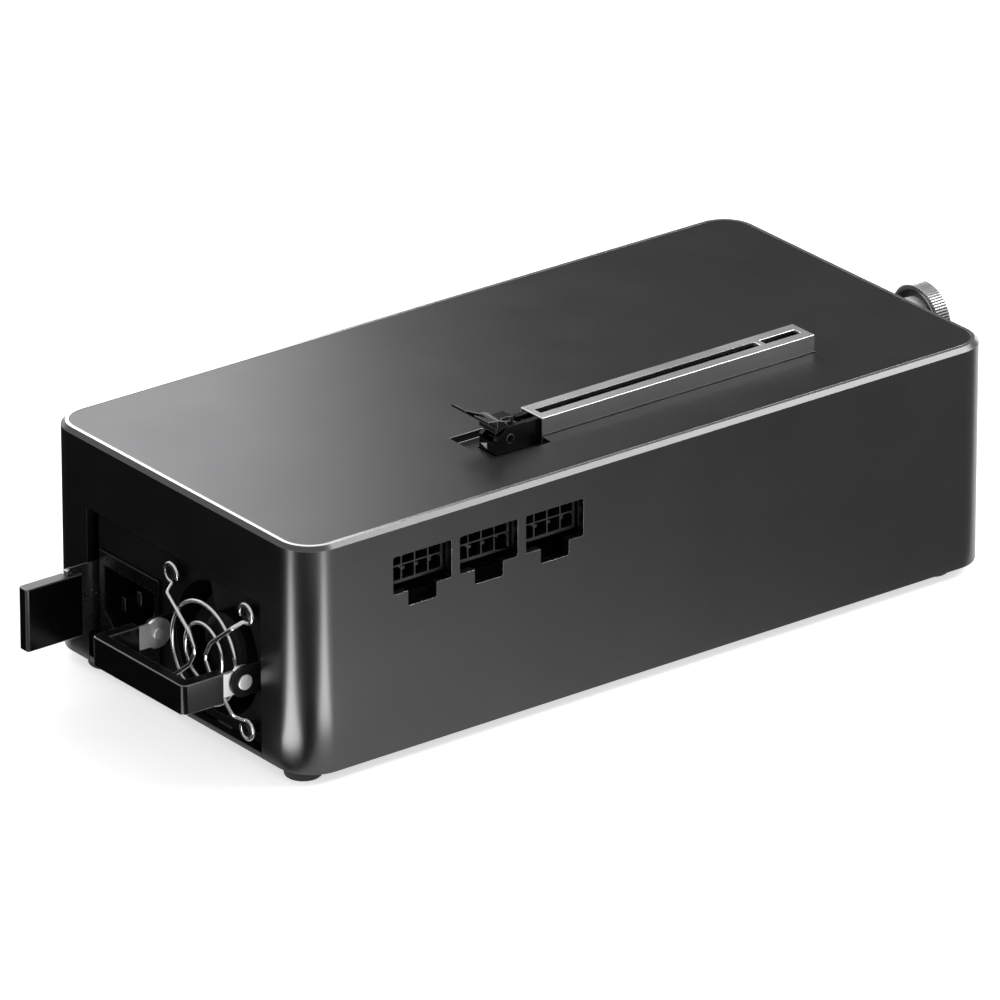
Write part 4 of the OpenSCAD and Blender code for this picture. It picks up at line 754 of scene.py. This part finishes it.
for (i, k), (m, n) in zip(rim, rim[1:] + rim[:1]):
    shape.faces.new((sides[0][i][k], sides[0][m][n], sides[1][m][n], sides[1][i][k]))
bmesh.ops.recalc_face_normals(shape, faces=shape.faces)
eased(shape, 40)
fins = as_object("rotor_blades", shape)
grown(fins, turns, Count=blade_count, Step=2 * math.pi / blade_count, Finish=fan_plastic)
for part in (hub, fins):
    part.data.transform(along_x)
rotor = joined("fan_rotor_with_blades", ((hub, 0), (fins, 0)), (fan_plastic,))
fitted(rotor, "fan", "black_plastic", "fan_rotor")

wires, start, end = new_tree("wire_along_lines", ("Bend", "Float"), ("Wire", "Float"), ("Finish", "Material"))
path = wires.nodes.new("GeometryNodeMeshToCurve")
bend = wires.nodes.new("GeometryNodeFilletCurve")
bend.mode = "POLY"
bend.inputs["Count"].default_value = 6
bend.inputs["Limit Radius"].default_value = True
ring = wires.nodes.new("GeometryNodeCurvePrimitiveCircle")
ring.inputs["Resolution"].default_value = 14
tube = wires.nodes.new("GeometryNodeCurveToMesh")
tube.inputs["Fill Caps"].default_value = True
soft = wires.nodes.new("GeometryNodeSetShadeSmooth")
real = wires.nodes.new("GeometryNodeRealizeInstances")
coat = wires.nodes.new("GeometryNodeSetMaterial")
wired(wires, (start.outputs["Geometry"], path.inputs[0]), (path.outputs[0], bend.inputs["Curve"]),
      (start.outputs["Bend"], bend.inputs["Radius"]), (start.outputs["Wire"], ring.inputs["Radius"]),
      (bend.outputs[0], tube.inputs["Curve"]), (ring.outputs["Curve"], tube.inputs["Profile Curve"]),
      (tube.outputs[0], soft.inputs[0]), (soft.outputs[0], real.inputs[0]), (real.outputs[0], coat.inputs[0]),
      (start.outputs["Finish"], coat.inputs["Material"]), (coat.outputs[0], end.inputs[0]))


def lines(name, paths):
    """an object of edges only; each path is a list of points in metres and whether it closes"""
    shape = bmesh.new()
    for points, closes in paths:
        made = [shape.verts.new(p) for p in points]
        for one, two in zip(made, made[1:] + (made[:1] if closes else [])):
            shape.edges.new((one, two))
    return as_object(name, shape)


face_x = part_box("supply_cover")[0].x
fy, fz = fan_axis.y, fan_axis.z


def on_face(out_mm, y_mm, z_mm):
    """a point in front of the supply's face, measured from the fan's axis"""
    return Vector((face_x - out_mm * mm, fy + y_mm * mm, fz + z_mm * mm))


wire_r = 0.6 * mm
ring_steps, ring_out, vee_out, hook_out = 72, 4.1, 5.3, 2.4
screw_place, hook_r, hook_steps = 16, 2.5, 18
ring_radii = (7.9, 13.6)
rings = []
for r in ring_radii:
    rings.append(([on_face(ring_out, r * math.cos(2 * math.pi * k / ring_steps),
                           r * math.sin(2 * math.pi * k / ring_steps)) for k in range(ring_steps)], True))
ring_wire = lines("guard_rings", rings)
grown(ring_wire, wires, Bend=0.0, Wire=wire_r, Finish=wire_chrome)
vees = []
for side in (-1, 1):
    half = []
    for k in range(hook_steps + 1):
        a = math.radians(205 - 315 * k / hook_steps)
        half.append((hook_out, screw_place + hook_r * math.cos(a), screw_place + hook_r * math.sin(a)))
    half += [(vee_out, 13.9, 12), (vee_out, 4.6, 4.6), (vee_out, 2.4, 0.8)]
    whole = half + [(x, y, -z) for x, y, z in reversed(half)]
    vees.append(([on_face(x, side * y, z) for x, y, z in whole], False))
vee_wire = lines("guard_vees", vees)
grown(vee_wire, wires, Bend=1.1 * mm, Wire=wire_r, Finish=wire_chrome)
guard = joined("wire_finger_guard", ((ring_wire, 0), (vee_wire, 0)), (wire_chrome,))
fitted(guard, "supply", "chromed_wire", "fan_guard")
black_screw = finish("blacked_screw", (0.02, 0.02, 0.021), 0.3, metal=0.6, grain=0.25, depth=0.006, shift=0.1)
low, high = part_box("fan_screws")
head_r = 2
fixing = socket_screw("fan_fixing_screws", head_r, 1.2, 1.4, 9, 0.8, 0.7)
fixing.data.transform(Matrix.Rotation(-math.pi / 2, 4, "Y"))
fixing.data.transform(Matrix.Translation((low.x, low.y + head_r * mm, low.z + head_r * mm)))
grown(fixing, rows, Columns=2, Rows=2, Column_step=(0, high.y - low.y - 2 * head_r * mm, 0),
      Row_step=(0, 0, high.z - low.z - 2 * head_r * mm), Finish=black_screw)
fitted(fixing, "supply", "black_steel", "fan_screws")

# The handle: a black moulded grip over two bright steel straps, which turn on rivets in the
# ears of the case and fold flat against its face.
grip_plastic = finish("grip_plastic", (0.003, 0.003, 0.0032), 0.17, grain=0.35, depth=0.003, shift=0.12,
                      spread=0.04, level=0.2)
# Painted highlight: the bevelled edges of the grip and of the latch's thumb blade are a lighter grey than the
# black plastic.
grip_edge_painted_highlight = finish("grip_edge_painted_highlight", (0.09, 0.09, 0.091), 0.2, grain=0.35, depth=0.003, shift=0.12, level=0.9)
grip = from_solid("handle_grip", "moulded_grip", 0.3, segments=3, edge_slot=1,
                  looks=(grip_plastic, grip_edge_painted_highlight))
fitted(grip, "handle", "black_plastic", "handle_grip")
strap_steel = finish("brushed_strap", (0.66, 0.66, 0.67), 0.42, metal=1, grain=0.3, depth=0.004, shift=0.06)
straps = from_solid("handle_straps", "strap_pair", 0.15, segments=2, looks=(strap_steel,))
fitted(straps, "handle", "bright_steel", "handle_straps")
rivets = from_solid("handle_rivets", "rivet_pair", 0.2, segments=3, looks=(strap_steel,))
fitted(rivets, "supply", "bright_steel", "handle_rivets")

# The supply's latch: a strip of spring steel riveted to the case's side, with a catch behind
# the end wall and a black thumb blade clipped round its rolled front edge.
spring_steel = finish("spring_steel", (0.58, 0.58, 0.6), 0.25, metal=1, grain=0.25, depth=0.004, shift=0.06,
                      stretch=(0.1, 1, 1))
anchor = from_solid("latch_anchor", "riveted_anchor", 0.12, looks=(spring_steel,))
fitted(anchor, "supply", "bright_steel", "latch_anchor")
strip = from_solid("latch_strip", "spring_strip", 0.1, looks=(spring_steel,))
fitted(strip, "supply_latch", "bright_steel", "latch_strip")
# The blade's bevelled edges take the grip's painted highlight.
blade = from_solid("latch_blade", "thumb_blade", 0.3, segments=3, edge_slot=1,
                   looks=(grip_plastic, grip_edge_painted_highlight))
fitted(blade, "supply_latch", "black_plastic", "latch_blade")

# Inside the supply's case: its board with a gilt card edge, two sleeved capacitors, a wound
# transformer and the heat sinks' fins.
power_mask = board_look("power_board_mask", (0.03, 0.05, 0.02), (0.06, 0.1, 0.04), 2.54)
sleeve = finish("capacitor_sleeve", (0.01, 0.012, 0.03), 0.3, grain=0.5, depth=0.008, shift=0.15)
winding = finish("wound_copper", (0.5, 0.24, 0.1), 0.35, metal=0.8, grain=0.8, depth=0.12, shift=0.2,
                 stretch=(1, 0.05, 1))
fin_metal = finish("extruded_fins", (0.5, 0.5, 0.52), 0.35, metal=1, grain=0.6, depth=0.01, shift=0.08,
                   stretch=(0.08, 1, 1))
dressed("supply_board", power_mask)
dressed("edge_contacts", gold)
dressed("bulk_capacitors", sleeve)
dressed("transformer", winding)
dressed("heat_sinks", fin_metal)
